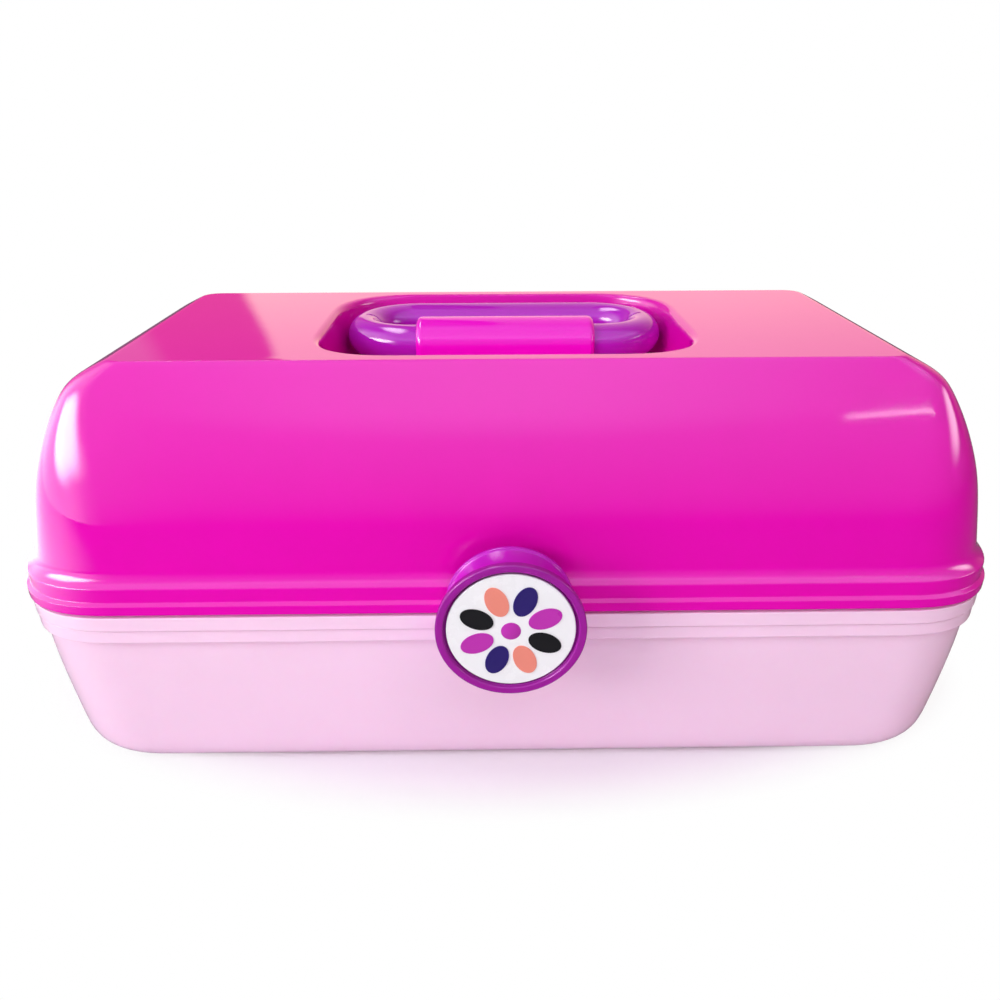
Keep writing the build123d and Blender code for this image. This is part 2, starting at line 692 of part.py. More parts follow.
def make_latch_disc():
    radius = LATCH_FACE_RADIUS - LATCH_RING_WIDTH - DISC_GAP
    plane = Plane(
        origin=(0, LATCH_FRONT_Y + DISC_RECESS, LATCH_AXIS_HEIGHT), z_dir=(0, 1, 0)
    )
    disc = extrude(plane * Circle(radius), DISC_THICKNESS)
    return fillet(disc.faces().sort_by(Axis.Y)[0].edges(), DISC_EDGE)


# ------------------------------------------------------------- tray and links


def make_tray():
    """An open tray with six compartments and end lugs for its pivots."""
    outline = (TRAY_HALF_LENGTH, TRAY_HALF_DEPTH, TRAY_CORNER)
    top = rounded(*outline, TRAY_TOP, TRAY_CENTRE_Y)
    low = rounded(*inset(outline, TRAY_DRAFT_INSET), TRAY_BOTTOM, TRAY_CENTRE_Y)
    tray = loft([low, top])
    tray = fillet(tray.faces().sort_by(Axis.Z)[0].edges(), TRAY_WALL)
    rim = slab(outline, TRAY_TOP - TRAY_WALL, TRAY_TOP, TRAY_CENTRE_Y)
    tray = tray + rim

    inner = inset(outline, TRAY_WALL)
    cell_top = rounded(*inner, TRAY_TOP, TRAY_CENTRE_Y)
    cell_low = rounded(
        *inset(inner, TRAY_DRAFT_INSET), TRAY_BOTTOM + TRAY_WALL, TRAY_CENTRE_Y
    )
    cavity = loft([cell_low, cell_top])
    dividers = []
    pitch = 2 * TRAY_HALF_LENGTH / TRAY_COLUMNS
    for column in range(1, TRAY_COLUMNS):
        x = -TRAY_HALF_LENGTH + column * pitch
        dividers.append(block(
            x - TRAY_WALL / 2, x + TRAY_WALL / 2, TRAY_FRONT, TRAY_BACK,
            TRAY_BOTTOM, TRAY_TOP - TRAY_DIVIDER_DROP,
        ))
    dividers.append(block(
        -TRAY_HALF_LENGTH, TRAY_HALF_LENGTH,
        TRAY_CENTRE_Y - TRAY_WALL / 2, TRAY_CENTRE_Y + TRAY_WALL / 2,
        TRAY_BOTTOM, TRAY_TOP - TRAY_DIVIDER_DROP,
    ))
    for divider in dividers:
        cavity = cavity - divider
    tray = tray - cavity

    y, z = TRAY_LID_PIVOT
    x_low = TRAY_HALF_LENGTH - TRAY_WALL
    lug = rod_x(TRAY_LUG_RADIUS, x_low, TRAY_HALF_LENGTH, y, z)
    lug = lug + block(
        x_low, TRAY_HALF_LENGTH, y - TRAY_LUG_RADIUS, y + TRAY_LUG_RADIUS,
        TRAY_TOP - TRAY_WALL, z,
    )
    for side in both_sides(lug):
        tray = tray + side
    y_arm, z_arm = ARM_TRAY_PIVOT
    boss_low = TRAY_HALF_LENGTH - TRAY_DRAFT_INSET - TRAY_WALL
    boss = rod_x(TRAY_LUG_RADIUS, boss_low, TRAY_HALF_LENGTH, y_arm, z_arm)
    for side in both_sides(boss):
        tray = tray + side
    lid_bore = LINK_PIN_RADIUS + RUNNING_CLEARANCE
    for bore, py, pz in ((lid_bore, y, z), (LINK_PIN_RADIUS, y_arm, z_arm)):
        hole = rod_x(bore, boss_low, TRAY_HALF_LENGTH, py, pz)
        for side in both_sides(hole):
            tray = tray - side
    return tray


def make_tray_arm():
    """One side arm, pinned to the base low down and to the tray in front."""
    plane = Plane(origin=(ARM_INNER_X, 0, 0), x_dir=(0, 1, 0), z_dir=(1, 0, 0))
    base_y, base_z = ARM_BASE_PIVOT
    tray_y, tray_z = ARM_TRAY_PIVOT
    length = math.hypot(tray_y - base_y, tray_z - base_z)
    turn = math.degrees(math.atan2(tray_z - base_z, tray_y - base_y))
    middle = ((base_y + tray_y) / 2, (base_z + tray_z) / 2)
    bar = Pos(*middle) * Rot(0, 0, turn) * Rectangle(length, 2 * ARM_WAIST)
    ends = Pos(base_y, base_z) * Circle(ARM_END_RADIUS)
    ends = ends + Pos(tray_y, tray_z) * Circle(ARM_END_RADIUS)
    arm = extrude(plane * (bar + ends), ARM_THICKNESS)
    base_bore = LINK_PIN_RADIUS + RUNNING_CLEARANCE
    tray_bore = LINK_PIN_RADIUS + OPEN_PIVOT_CLEARANCE
    arm = arm - rod_x(base_bore, ARM_INNER_X, ARM_OUTER_X, base_y, base_z)
    return arm - rod_x(tray_bore, ARM_INNER_X, ARM_OUTER_X, tray_y, tray_z)


def headed_pin(x_low, x_high, pivot):
    """A link pin along X with its head at the low end."""
    y, z = pivot
    shaft = rod_x(LINK_PIN_RADIUS, x_low, x_high, y, z)
    head = rod_x(LINK_PIN_HEAD_RADIUS, x_low - LINK_PIN_HEAD, x_low, y, z)
    return shaft + head


def make_arm_base_pin():
    x_low = ARM_INNER_X - LINK_SIDE_GAP
    return headed_pin(x_low, LINK_BOSS_X + LINK_PIN_BITE, ARM_BASE_PIVOT)


def make_tray_lid_pin():
    x_low = TRAY_HALF_LENGTH - TRAY_WALL - LINK_SIDE_GAP
    return headed_pin(x_low, LID_BOSS_X + LINK_PIN_BITE, TRAY_LID_PIVOT)


def make_arm_tray_pin():
    """Pin fixed in the tray's end, with its head outside the arm."""
    x_low = TRAY_HALF_LENGTH - TRAY_DRAFT_INSET - TRAY_WALL
    head_low = ARM_OUTER_X + LINK_SIDE_GAP
    y, z = ARM_TRAY_PIVOT
    shaft = rod_x(LINK_PIN_RADIUS, x_low, head_low, y, z)
    head = rod_x(LINK_PIN_HEAD_RADIUS, head_low, head_low + LINK_PIN_HEAD, y, z)
    return shaft + head


# ---------------------------------------------------------------------- mirror


def make_mirror_frame():
    margin = MIRROR_FRAME_MARGIN
    outline = (MIRROR_HALF_LENGTH, MIRROR_HALF_DEPTH, MIRROR_CORNER)
    plate = slab(
        (MIRROR_HALF_LENGTH + margin, MIRROR_HALF_DEPTH + margin / 2, MIRROR_FRAME_CORNER),
        MIRROR_FRAME_BOTTOM, MIRROR_FRAME_TOP, MIRROR_CENTRE_Y,
    )
    plate = fillet(plate.faces().sort_by(Axis.Z)[0].edges(), MIRROR_FRAME_EDGE)
    bed = MIRROR_FRAME_BOTTOM + MIRROR_LIP_THICKNESS
    plate = plate - slab(outline, bed, MIRROR_FRAME_TOP, MIRROR_CENTRE_Y)
    window = inset(outline, MIRROR_LIP)
    plate = plate - slab(window, MIRROR_FRAME_BOTTOM, bed, MIRROR_CENTRE_Y)
    for x, y in mirror_screw_places():
        plate = plate - rod_z(
            SCREW_HOLE_RADIUS, x, y, MIRROR_FRAME_BOTTOM, MIRROR_FRAME_TOP
        )
    return plate


def make_mirror_glass():
    outline = (MIRROR_HALF_LENGTH, MIRROR_HALF_DEPTH, MIRROR_CORNER)
    bed = MIRROR_FRAME_BOTTOM + MIRROR_LIP_THICKNESS
    return slab(inset(outline, MIRROR_GAP), bed, MIRROR_FRAME_TOP, MIRROR_CENTRE_Y)


def make_mirror_screws():
    screws = []
    head_low = MIRROR_FRAME_BOTTOM - SCREW_HEAD_HEIGHT
    for x, y in mirror_screw_places():
        shaft = rod_z(SCREW_RADIUS, x, y, MIRROR_FRAME_BOTTOM, MIRROR_FRAME_TOP + SCREW_BITE)
        head = rod_z(SCREW_HEAD_RADIUS, x, y, head_low, MIRROR_FRAME_BOTTOM)
        for turn in (0, 90):
            slot = Pos(x, y, head_low) * Rot(0, 0, turn) * Box(
                SCREW_SLOT_LENGTH, SCREW_SLOT, SCREW_HEAD_HEIGHT
            )
            head = head - slot
        screws.append(shaft + head)
    return Compound(children=screws)


# ---------------------------------------------------------------------- output


def make_hinge_pin():
    half = HINGE_LENGTH / 2
    return rod_x(HINGE_PIN_RADIUS, HINGE_X - half, HINGE_X + half, HINGE_Y, SEAM_HEIGHT)


def make_all():
    """Every node by name."""
    nodes = {
        "base_shell": make_base_shell(),
        "lid_shell": make_lid_shell(),
        "handle": make_handle(),
        "handle_saddle": make_handle_saddle(),
        "latch_body": make_latch_body(),
        "latch_disc": make_latch_disc(),
        "latch_pin": make_latch_pin(),
        "tray": make_tray(),
        "mirror_frame": make_mirror_frame(),
        "mirror_glass": make_mirror_glass(),
        "mirror_screws": make_mirror_screws(),
    }
    paired = {
        "hinge_pin": make_hinge_pin(),
        "tray_arm": make_tray_arm(),
        "arm_base_pin": make_arm_base_pin(),
        "arm_tray_pin": make_arm_tray_pin(),
        "tray_lid_pin": make_tray_lid_pin(),
    }
    for name, shape in paired.items():
        nodes[name + "_right"] = shape
        nodes[name + "_left"] = mirrored(shape)
    return nodes


def main():
    os.makedirs("parts", exist_ok=True)
    for name, shape in make_all().items():
        export_step(shape, "parts/" + name + ".step")


main()
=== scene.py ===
"""Makeup storage case: glossy moulded shells, folding handle and drum latch around the fixed frame."""
import math

import bmesh
import bpy
from bpy.props import FloatProperty, FloatVectorProperty, IntProperty, PointerProperty
from bpy.types import NodeSocket, Operator, Panel, PropertyGroup
from mathutils import Matrix, Quaternion, Vector


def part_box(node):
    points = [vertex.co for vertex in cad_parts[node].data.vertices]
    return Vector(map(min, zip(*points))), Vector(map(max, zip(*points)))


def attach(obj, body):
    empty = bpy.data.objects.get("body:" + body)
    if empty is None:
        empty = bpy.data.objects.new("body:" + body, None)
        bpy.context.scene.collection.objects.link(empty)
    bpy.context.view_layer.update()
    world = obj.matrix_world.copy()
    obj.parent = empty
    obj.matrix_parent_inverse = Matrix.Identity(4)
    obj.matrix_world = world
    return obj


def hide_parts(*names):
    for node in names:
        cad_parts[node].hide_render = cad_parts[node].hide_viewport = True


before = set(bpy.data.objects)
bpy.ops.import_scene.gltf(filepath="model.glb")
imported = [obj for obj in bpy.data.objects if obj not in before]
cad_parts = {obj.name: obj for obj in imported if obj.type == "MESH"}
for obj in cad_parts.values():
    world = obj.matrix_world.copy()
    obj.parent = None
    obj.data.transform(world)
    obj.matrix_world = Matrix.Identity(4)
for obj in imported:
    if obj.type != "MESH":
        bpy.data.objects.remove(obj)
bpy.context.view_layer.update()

bl_info = {
    "name": "Makeup Case",
    "version": (1, 0, 0),
    "blender": (4, 5, 0),
    "location": "View3D > Sidebar > Makeup Case",
    "description": "Builds the look of a makeup storage case with a handle",
    "category": "Object",
}

MM = 0.001
HANDLE_LOW, HANDLE_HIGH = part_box("handle")
SADDLE_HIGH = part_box("handle_saddle")[1]
LATCH_LOW, LATCH_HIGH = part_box("latch_body")
DISC_LOW, DISC_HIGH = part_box("latch_disc")

# ---- measures, in millimetres

# Sections of the shells: height, half length, half depth and corner radius.
BASE_FOOT = [(0.8, 131.0, 47.4, 6.0), (0.8, 131.6, 48.0, 6.0), (0.0, 132.0, 48.4, 6.4)]
BASE_WALL = [
    (0.0, 145.5, 61.8, 20.0), (3.0, 152.2, 66.0, 22.0), (9.0, 157.6, 69.2, 24.0),
    (20.0, 160.0, 71.4, 26.0), (40.0, 161.4, 74.2, 27.0), (55.0, 161.8, 76.0, 27.6),
    (60.5, 161.5, 76.1, 27.4),
]
BASE_BANDS = [
    (60.5, 163.4, 78.9, 30.0), (65.1, 163.4, 78.9, 30.0),
    (65.1, 162.7, 78.2, 29.4), (65.7, 162.7, 78.2, 29.4),
    (65.7, 163.8, 79.8, 31.2), (70.6, 163.8, 79.8, 31.2),
    (70.6, 161.8, 77.8, 28.9), (74.6, 161.8, 77.8, 28.9),
    (74.6, 160.3, 76.3, 27.4), (63.0, 160.3, 76.3, 27.4),
]
BASE_INSIDE = (60.0, 20.0, 10.0)
LID_WALL = [
    (86.0, 160.8, 76.4, 30.5), (100.0, 157.1, 75.0, 27.0), (112.0, 154.0, 70.9, 22.5),
    (124.0, 149.2, 65.1, 17.0), (134.0, 143.6, 59.8, 12.0), (141.0, 137.0, 56.1, 8.0),
    (147.0, 125.3, 53.0, 4.5),
]
LID_SKIRT = [
    (80.8, 163.4, 79.2, 31.0), (76.2, 163.4, 79.2, 31.0),
    (75.2, 164.4, 80.4, 31.5), (72.0, 164.4, 80.4, 31.5),
    (72.0, 162.2, 78.2, 29.3), (75.4, 162.2, 78.2, 29.3),
]
WELL_FLOOR = 127.5
WELL_UNDERSIDE = 125.0
WELL_WALL = [(WELL_FLOOR, 40.0, 24.0, 12.0), (WELL_FLOOR, 60.6, 44.6, 23.6), (147.0, 64.0, 48.0, 27.0)]
WELL_BACK = [
    (144.3, 65.0, 48.4, 27.0), (WELL_UNDERSIDE, 62.8, 46.8, 25.8), (WELL_UNDERSIDE, 30.0, 15.0, 8.0)]
WELL_REACH = 66.0
WELL_SHIFT = -1.0

# Softness of single corners of those paths; the others take the shell's own edge.
FOOT_SOFTNESS = 0.3
BAND_SOFTNESS = {1: 0.3, 2: 0.15, 3: 0.15, 4: 0.3}
LEDGE_SOFTNESS = 0.3
BROW_SHARE = 0.4

# Hinges, the tray's link bosses and the mirror's screw bosses.
HINGE_Y = 84.2
HINGE_Z = 71.1
HINGE_X = 86.0
HINGE_HALF = 15.0
LID_KNUCKLE_HALF = 6.5
KNUCKLE_GAP = 0.3
KNUCKLE_RADIUS = 3.2
PIN_RADIUS = 1.5
WEB_FRONT = 78.6
WEB_GAP = 0.2
LID_PIVOT = (HINGE_Y - 50.0, HINGE_Z + 10.0)
BASE_PIVOT = (HINGE_Y - 60.0, HINGE_Z - 14.0)
LID_BOSS_ENDS = (150.3, 161.0)
BASE_BOSS_ENDS = (154.9, 160.5)
BOSS_RADIUS = 5.0
BOSS_BORE = 2.0
MIRROR_BOSS_X = 54.0
MIRROR_BOSS_Y = (-33.0, 31.0)
MIRROR_BOSS_ENDS = (120.0, 125.6)
MIRROR_BOSS_RADIUS = 3.4
MIRROR_BOSS_BORE = 1.25

# The handle's cradle and its cover with four snap clips.
BAR_GAP = 0.3
CRADLE_INSET = 3.0
CRADLE_GAP = 0.3
CRADLE_ROOT = 0.5
SADDLE_SOFTNESS = 2.2
SADDLE_LEAST_WALL = 0.35
CLIP_INSET = 10.5
CLIP_LENGTH = 9.0
CLIP_THICKNESS = 1.6
CLIP_BARB = 1.1
CLIP_OVERLAP = 0.3

# The latch's ear on the base, the drum, its hook and the notch round the ear.
EAR_HALF = 5.6
EAR_PLACE = (-86.0, 61.5)
EAR_RADIUS = 3.4
EAR_BORE = 1.55
EAR_ROOT = ((-5.6, -84.2, 58.1), (5.6, -77.4, 64.9))
NOTCH = ((-6.2, -90.0, 50.0), (6.2, -80.0, 64.9))
HOOK = ((-8.0, -94.4, 82.1), (8.0, -81.1, 84.5))
RIM_DEPTH = 2.6
RIM_WIDTH = 2.4
RIM_SOFTNESS = 0.55
RIM_SHOULDER = 1.6
DISC_RECESS = 0.7
DISC_DEPTH = 1.4
DISC_GAP = 0.4
DISC_SOFTNESS = 0.4
PLATE = 2.0
DRUM_WALL = 2.0
WAIST_RADIUS = 18.4
WAIST_DEPTH = 8.5
WAIST_POWER = 1.9
REAR_RADIUS = 20.2
REAR_LIP = 1.5
REAR_STEP = 0.7
INSIDE_DIP = 0.3
HEART_RADIUS = 3.0
HEART_SOFTNESS = 0.1

# ---- finenesses of form

BEAD_STEPS = 8
CORNER_STEPS = 18
CORNER_REACH = 1.21
CORNER_POWER = 0.8
DOME_STEPS = 44
SPLINE_ROUNDS = 24
EDGE_STEPS = 4
CRADLE_STEPS = 16
SADDLE_STEPS = 36
SADDLE_END_STEPS = 6
NECK_STEPS = 24
LIP_STEPS = 6
INSIDE_STEPS = 12
LATHE_STEPS = 120
ROD_STEPS = 48
PETAL_POINTS = 40
MERGE = 1e-6

# ---- the studio

FLOOR_HALF = 8.0
FLOOR_FADE = (0.072, 0.100)
FLOOR_STRETCH = (0.5, 1.0, 1.0)
# A light wedge of floor in the case's gloss: its sides as cosines, its start, its strength.
SHINE_SIDES = (0.66, 0.92)
SHINE_START = (0.25, 0.37)
SHINE_LEVEL = 3.4
SHADE_LEVEL = 0.12
# The room that lights the case, by X from -1 to 1.
ROOM_LEVEL = 0.39
ROOM_TONES = [
    (-0.6, (0.92, 1.0, 1.0)), (0.0, (0.95, 0.82, 0.84)), (0.6, (0.92, 0.36, 0.28))]
# The room in the case's gloss: in front by Z, behind by a leaning angle in degrees.
GLOSS_LEVEL = 5.5
CEILING_TONES = [
    (-0.2, (0.01, 0.01, 0.01)), (0.0, (0.024, 0.024, 0.026)), (0.08, (0.056, 0.057, 0.066)),
    (0.42, (0.17, 0.185, 0.26)), (0.55, (0.26, 0.28, 0.43)), (0.62, (0.58, 0.62, 0.99)),
    (0.80, (0.40, 0.43, 0.62)), (0.95, (0.37, 0.40, 0.52))]
WALL_TONES = [
    (-60, (0.15, 0.075, 0.09)), (-28.4, (0.20, 0.075, 0.095)), (-27.8, (0.18, 0.03, 0.056)),
    (-20.8, (0.18, 0.03, 0.056)), (-20.5, (0.35, 0.24, 0.18)), (10, (0.34, 0.21, 0.17)),
    (35, (0.245, 0.125, 0.095)), (75, (0.087, 0.025, 0.031))]
WALL_LEAN = -0.42
WALL_START = (-0.15, 0.25)
# Lights in the case's gloss: direction, stretch, outer and inner reach, strength.
STUDIO_GLOWS = (
    ((-0.93, -0.20, 0.10), (1.0, 1.0, 1.0), 1.0, 0.45, 1.0),
    ((-0.76, -0.50, 0.42), (0.8, 0.8, 2.4), 0.36, 0.08, 6.8),
    ((-0.87, -0.36, 0.33), (0.8, 0.8, 2.3), 0.36, 0.08, 6.8),
    ((0.95, -0.15, 0.30), (0.7, 0.7, 1.9), 0.28, 0.05, 2.0),
    ((-0.29, 0.24, 0.93), (2.5, 1.0, 1.0), 0.5, 0.15, 3.0),
)


# ---- properties


def length(name, words, value, precision=4):
    """A length property, in metres."""
    return FloatProperty(
        name=name, description=words, default=value, unit="LENGTH", subtype="DISTANCE",
        precision=precision)


def colour(name, value):
    """A colour property."""
    return FloatVectorProperty(
        name=name, description="Colour of the " + name.lower(), subtype="COLOR", size=3,
        min=0, max=1, default=value)


def turn(name, words, degrees):
    """An angle property."""
    return FloatProperty(
        name=name, description=words, default=math.radians(degrees), subtype="ANGLE")


class ShellSizes(PropertyGroup):
    wall: length("Wall", "Thickness of the moulded walls", 2.5 * MM)
    edge: length("Edge", "Softness of the rim bands' edges", 0.5 * MM)
    crease: length("Crease", "Softness of the lid's top crease", 1.5 * MM)
    well_rim: length("Well rim", "Softness of the handle well's rim", 2.6 * MM)
    well_floor: length("Well floor", "Softness of the well's floor corner", 4.5 * MM)


class HandleSizes(PropertyGroup):
    tube: length("Tube", "Radius of the handle's tube", (HANDLE_HIGH[2] - HANDLE_LOW[2]) / 2)
    around: IntProperty(name="Around", description="Points round the tube", default=48, min=8)
    bend: IntProperty(
        name="Bend", description="Points in each quarter bend", default=26, min=4)


class DiscSizes(PropertyGroup):
    petals: IntProperty(
        name="Petals", description="Petals of one colour round the disc", default=2, min=1)
    petal_length: length("Petal length", "Length of a petal", 10.4 * MM)
    petal_width: length("Petal width", "Width of a petal", 6.6 * MM)
    petal_ring: length(
        "Petal ring", "Distance of a petal's middle from the disc's", 11.0 * MM)
    inlay: length("Inlay", "How far an inlay stands out of the disc", 0.12 * MM, 5)


class CaseColours(PropertyGroup):
    lid: colour("Lid", (0.775, 0.002, 0.435))
    base: colour("Base", (0.95, 0.67, 0.85))
    handle: colour("Handle", (0.46, 0.010, 0.53))
    saddle: colour("Handle's cover", (0.90, 0.003, 0.66))
    latch: colour("Latch drum", (0.52, 0.008, 0.50))
    rim: colour("Drum's front rim", (0.33, 0.012, 0.31))
    disc: colour("Latch's disc", (0.89, 0.92, 0.91))
    tray: colour("Tray", (0.95, 0.67, 0.85))
    steel: colour("Pins", (0.58, 0.58, 0.60))
    floor: colour("Floor", (0.85, 0.85, 0.85))


class StageSizes(PropertyGroup):
    lens: FloatProperty(name="Lens", description="Focal length", default=29.73, unit="CAMERA")
    eye: FloatVectorProperty(
        name="Eye", description="Place of the camera", size=3, subtype="TRANSLATION",
        default=(-5.47 * MM, -303.0 * MM, 216.22 * MM))
    yaw: turn("Yaw", "Turn of the camera to the right", 0.65)
    pitch: turn("Pitch", "Tilt of the camera downwards", 25.17)
    roll: turn("Roll", "Roll of the camera", -0.2)


# ---- node helpers


def fill(tree, node, inputs):
    """A node with its inputs set, each to a value or by a link from another output."""
    for socket, value in inputs.items():
        if isinstance(value, NodeSocket):
            tree.links.new(value, node.inputs[socket])
        else:
            node.inputs[socket].default_value = value
    return node


def add(tree, kind, inputs=None, **settings):
    """A new node with its settings and inputs."""
    node = tree.nodes.new(kind)
    for name, value in settings.items():
        setattr(node, name, value)
    return fill(tree, node, inputs or {})


def calc(tree, operation, *values):
    """The result of a math node."""
    node = add(tree, "ShaderNodeMath", dict(enumerate(values)), operation=operation)
    return node.outputs[0]


def vector(tree, operation, *values, out="Vector"):
    """The result of a vector math node."""
    node = add(tree, "ShaderNodeVectorMath", dict(enumerate(values)), operation=operation)
    return node.outputs[out]


def share(tree, value, low, high, curve="LINEAR"):
    """How far a value is from one limit to another, from 0 to 1."""
    node = add(
        tree, "ShaderNodeMapRange", {"Value": value, "From Min": low, "From Max": high},
        interpolation_type=curve)
    return node.outputs["Result"]


def blend(tree, factor, first, second):
    """A colour between two, each of them a colour or another node's output."""
    ends = [
        end if isinstance(end, NodeSocket) else (*end, 1) for end in (first, second)]
    node = add(
        tree, "ShaderNodeMix", {"Factor": factor, "A": ends[0], "B": ends[1]},
        data_type="RGBA")
    return node.outputs["Result"]


def mix_shader(tree, factor, first, second):
    """A shader between two."""
    node = add(tree, "ShaderNodeMixShader", {"Fac": factor, 1: first, 2: second})
    return node.outputs["Shader"]


def ramp(tree, value, low, high, stops):
    """A colour ramp over a range of a value; stops are (value, colour)."""
    node = add(tree, "ShaderNodeValToRGB", {"Fac": share(tree, value, low, high)})
    points = node.color_ramp.elements
    while len(points) < len(stops):
        points.new(1.0)
    for point, (at, rgb) in zip(points, stops):
        point.position = (at - low) / (high - low)
        point.color = (*rgb, 1.0)
    return node.outputs["Color"]


def coordinates(tree, kind="Object"):
    """Object coordinates, or another kind, of the shaded point."""
    return add(tree, "ShaderNodeTexCoord").outputs[kind]


def first_node(tree, kind):
    """The tree's first node of a type."""
    return next(node for node in tree.nodes if node.type == kind)


# ---- materials


def new_material(name):
    """A material with its node tree."""
    material = bpy.data.materials.new(name)
    material.use_nodes = True
    return material, material.node_tree


def dress(tree, inputs):
    """The Principled shader with its inputs set."""
    return fill(tree, first_node(tree, "BSDF_PRINCIPLED"), inputs)


def noise(tree, scale, detail=2.0, roughness=0.5):
    """A noise texture on Object coordinates."""
    node = add(tree, "ShaderNodeTexNoise", {
        "Vector": coordinates(tree), "Scale": scale, "Detail": detail,
        "Roughness": roughness})
    return node.outputs["Fac"]


def spread(tree, value, low, high):
    """A noise's usual range spread between two limits."""
    node = add(tree, "ShaderNodeMapRange", {
        "Value": value, "From Min": 0.3, "From Max": 0.7, "To Min": low, "To Max": high})
    return node.outputs["Result"]


def shade(rgb, factor):
    """A colour made darker or lighter."""
    return tuple(min(1.0, channel * factor) for channel in rgb)


def moulded_plastic(name, rgb, gloss, depth=0.0, rim=None):
    """Glossy moulded plastic: faint flow marks, uneven polish and a clear skin."""
    material, tree = new_material(name)
    tone = blend(tree, noise(tree, 22.0, 3.0, 0.6), shade(rgb, 0.965), shade(rgb, 1.035))
    # With a rim colour given, the front of the drum, up to its rim's depth along Y, takes that darker
    # colour.
    if rim:
        axes = add(tree, "ShaderNodeSeparateXYZ", {"Vector": coordinates(tree)})
        start = LATCH_LOW[1]
        behind = share(
            tree, axes.outputs["Y"], start + 0.8 * RIM_DEPTH * MM, start + RIM_DEPTH * MM)
        tone = blend(tree, behind, rim, tone)
    bump = add(tree, "ShaderNodeBump", {
        "Height": noise(tree, 260.0, 2.0, 0.4), "Strength": 0.02, "Distance": 0.2 * MM})
    polish = noise(tree, 90.0, 4.0, 0.6)
    dress(tree, {
        "Base Color": tone,
        "Roughness": spread(tree, polish, gloss * 0.85, gloss * 1.25),
        "Normal": bump.outputs["Normal"],
        "IOR": 1.45,
        "Specular IOR Level": 0.32,
    })
    if depth:
        dress(tree, {
            "Subsurface Weight": depth,
            "Subsurface Radius": (1.0, 0.45, 0.7),
            "Subsurface Scale": 2.5 * MM,
        })
    return material


def drawn_steel(name, rgb):
    """Steel wire, with fine drawing marks along X."""
    material, tree = new_material(name)
    stretch = add(tree, "ShaderNodeMapping", {
        "Vector": coordinates(tree), "Scale": (60.0, 2400.0, 2400.0)})
    marks = add(tree, "ShaderNodeTexNoise", {
        "Vector": stretch.outputs["Vector"], "Scale": 1.0}).outputs["Fac"]
    dress(tree, {
        "Roughness": spread(tree, marks, 0.22, 0.42),
        "Base Color": blend(tree, marks, shade(rgb, 0.85), shade(rgb, 1.1)),
        "Metallic": 1.0,
    })
    return material


def silvered_glass(name):
    """A mirror, with the faintest unevenness in its polish."""
    material, tree = new_material(name)
    haze = noise(tree, 14.0)
    dress(tree, {
        "Roughness": spread(tree, haze, 0.012, 0.03),
        "Base Color": blend(tree, haze, (0.88, 0.91, 0.91), (0.92, 0.94, 0.94)),
        "Metallic": 1.0,
    })
    return material


def finishes():
    """Every finish of the case, made once."""
    made = bpy.context.scene.get("case_finishes")
    if made:
        return {key: bpy.data.materials[made[key]] for key in made.keys()}
    tones = bpy.context.scene.case_colours
    table = {
        "lid": moulded_plastic("lid_plastic_gloss", tones.lid, 0.05),
        "saddle": moulded_plastic("saddle_plastic_gloss", tones.saddle, 0.08),
        "base": moulded_plastic("base_plastic_gloss", tones.base, 0.17, depth=0.12),
        "handle": moulded_plastic("handle_plastic_gloss", tones.handle, 0.06),
        "latch": moulded_plastic("latch_plastic_gloss", tones.latch, 0.2, rim=tones.rim),
        "disc": moulded_plastic("disc_plastic_gloss", tones.disc, 0.25),
        "tray": moulded_plastic("tray_plastic_gloss", tones.tray, 0.2, depth=0.12),
        "steel": drawn_steel("pin_steel", tones.steel),
        "mirror": silvered_glass("mirror_silver"),
    }
    for name, rgb in (
            ("ink_black", (0.012, 0.012, 0.014)), ("ink_navy", (0.025, 0.014, 0.15)),
            ("ink_violet", (0.50, 0.03, 0.42)), ("ink_coral", (0.84, 0.27, 0.20))):
        table[name] = moulded_plastic(name, rgb, 0.3)
    bpy.context.scene["case_finishes"] = {key: table[key].name for key in table}
    return table


def finish_node(node, finish):
    """A carried-over node shown in a finish."""
    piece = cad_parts[node]
    piece.data.materials.clear()
    piece.data.materials.append(finishes()[finish])


# ---- mesh helpers


def add_piece(name, mesh, finish, body, *nodes, slot=None):
    """A finished mesh as a piece that rides on a body and stands for nodes."""
    piece = bpy.data.objects.new(name, mesh)
    bpy.context.scene.collection.objects.link(piece)
    mesh.materials.clear()
    mesh.materials.append(finishes()[finish])
    if nodes:
        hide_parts(*nodes)
    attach(piece, body)
    return piece


def even_normals(piece):
    """Large faces keep their own direction, and narrow edge faces blend between."""
    modifier = piece.modifiers.new("Even normals", "WEIGHTED_NORMAL")
    modifier.mode = "FACE_AREA"
    modifier.weight = 80
    modifier.keep_sharp = True


def smooth(mesh):
    """Smooth shading on every face."""
    for face in mesh.polygons:
        face.use_smooth = True


def closed_mesh(name, form, merge=None):
    """A form as a smooth mesh, its faces turned outward and its doubles merged."""
    if merge:
        bmesh.ops.remove_doubles(form, verts=form.verts, dist=merge)
    bmesh.ops.recalc_face_normals(form, faces=form.faces)
    mesh = bpy.data.meshes.new(name)
    form.to_mesh(mesh)
    form.free()
    smooth(mesh)
    return mesh


def ring(section, centre_y=0.0):
    """Points of a level rounded rectangle, from (height, half x, half y, corner), in mm."""
    height, half_x, half_y, corner = section
    corner = min(corner * CORNER_REACH, half_x - 0.01, half_y - 0.01)
    points = []
    for quarter in range(4):
        side_x = 1 if quarter in (0, 3) else -1
        side_y = 1 if quarter in (0, 1) else -1
        for step in range(CORNER_STEPS + 1):
            angle = math.radians(90 * (quarter + step / CORNER_STEPS))
            reach_x = corner * abs(math.cos(angle)) ** CORNER_POWER
            reach_y = corner * abs(math.sin(angle)) ** CORNER_POWER
            points.append(Vector((
                side_x * (half_x - corner + reach_x),
                centre_y + side_y * (half_y - corner + reach_y),
                height,
            )) * MM)
    return points


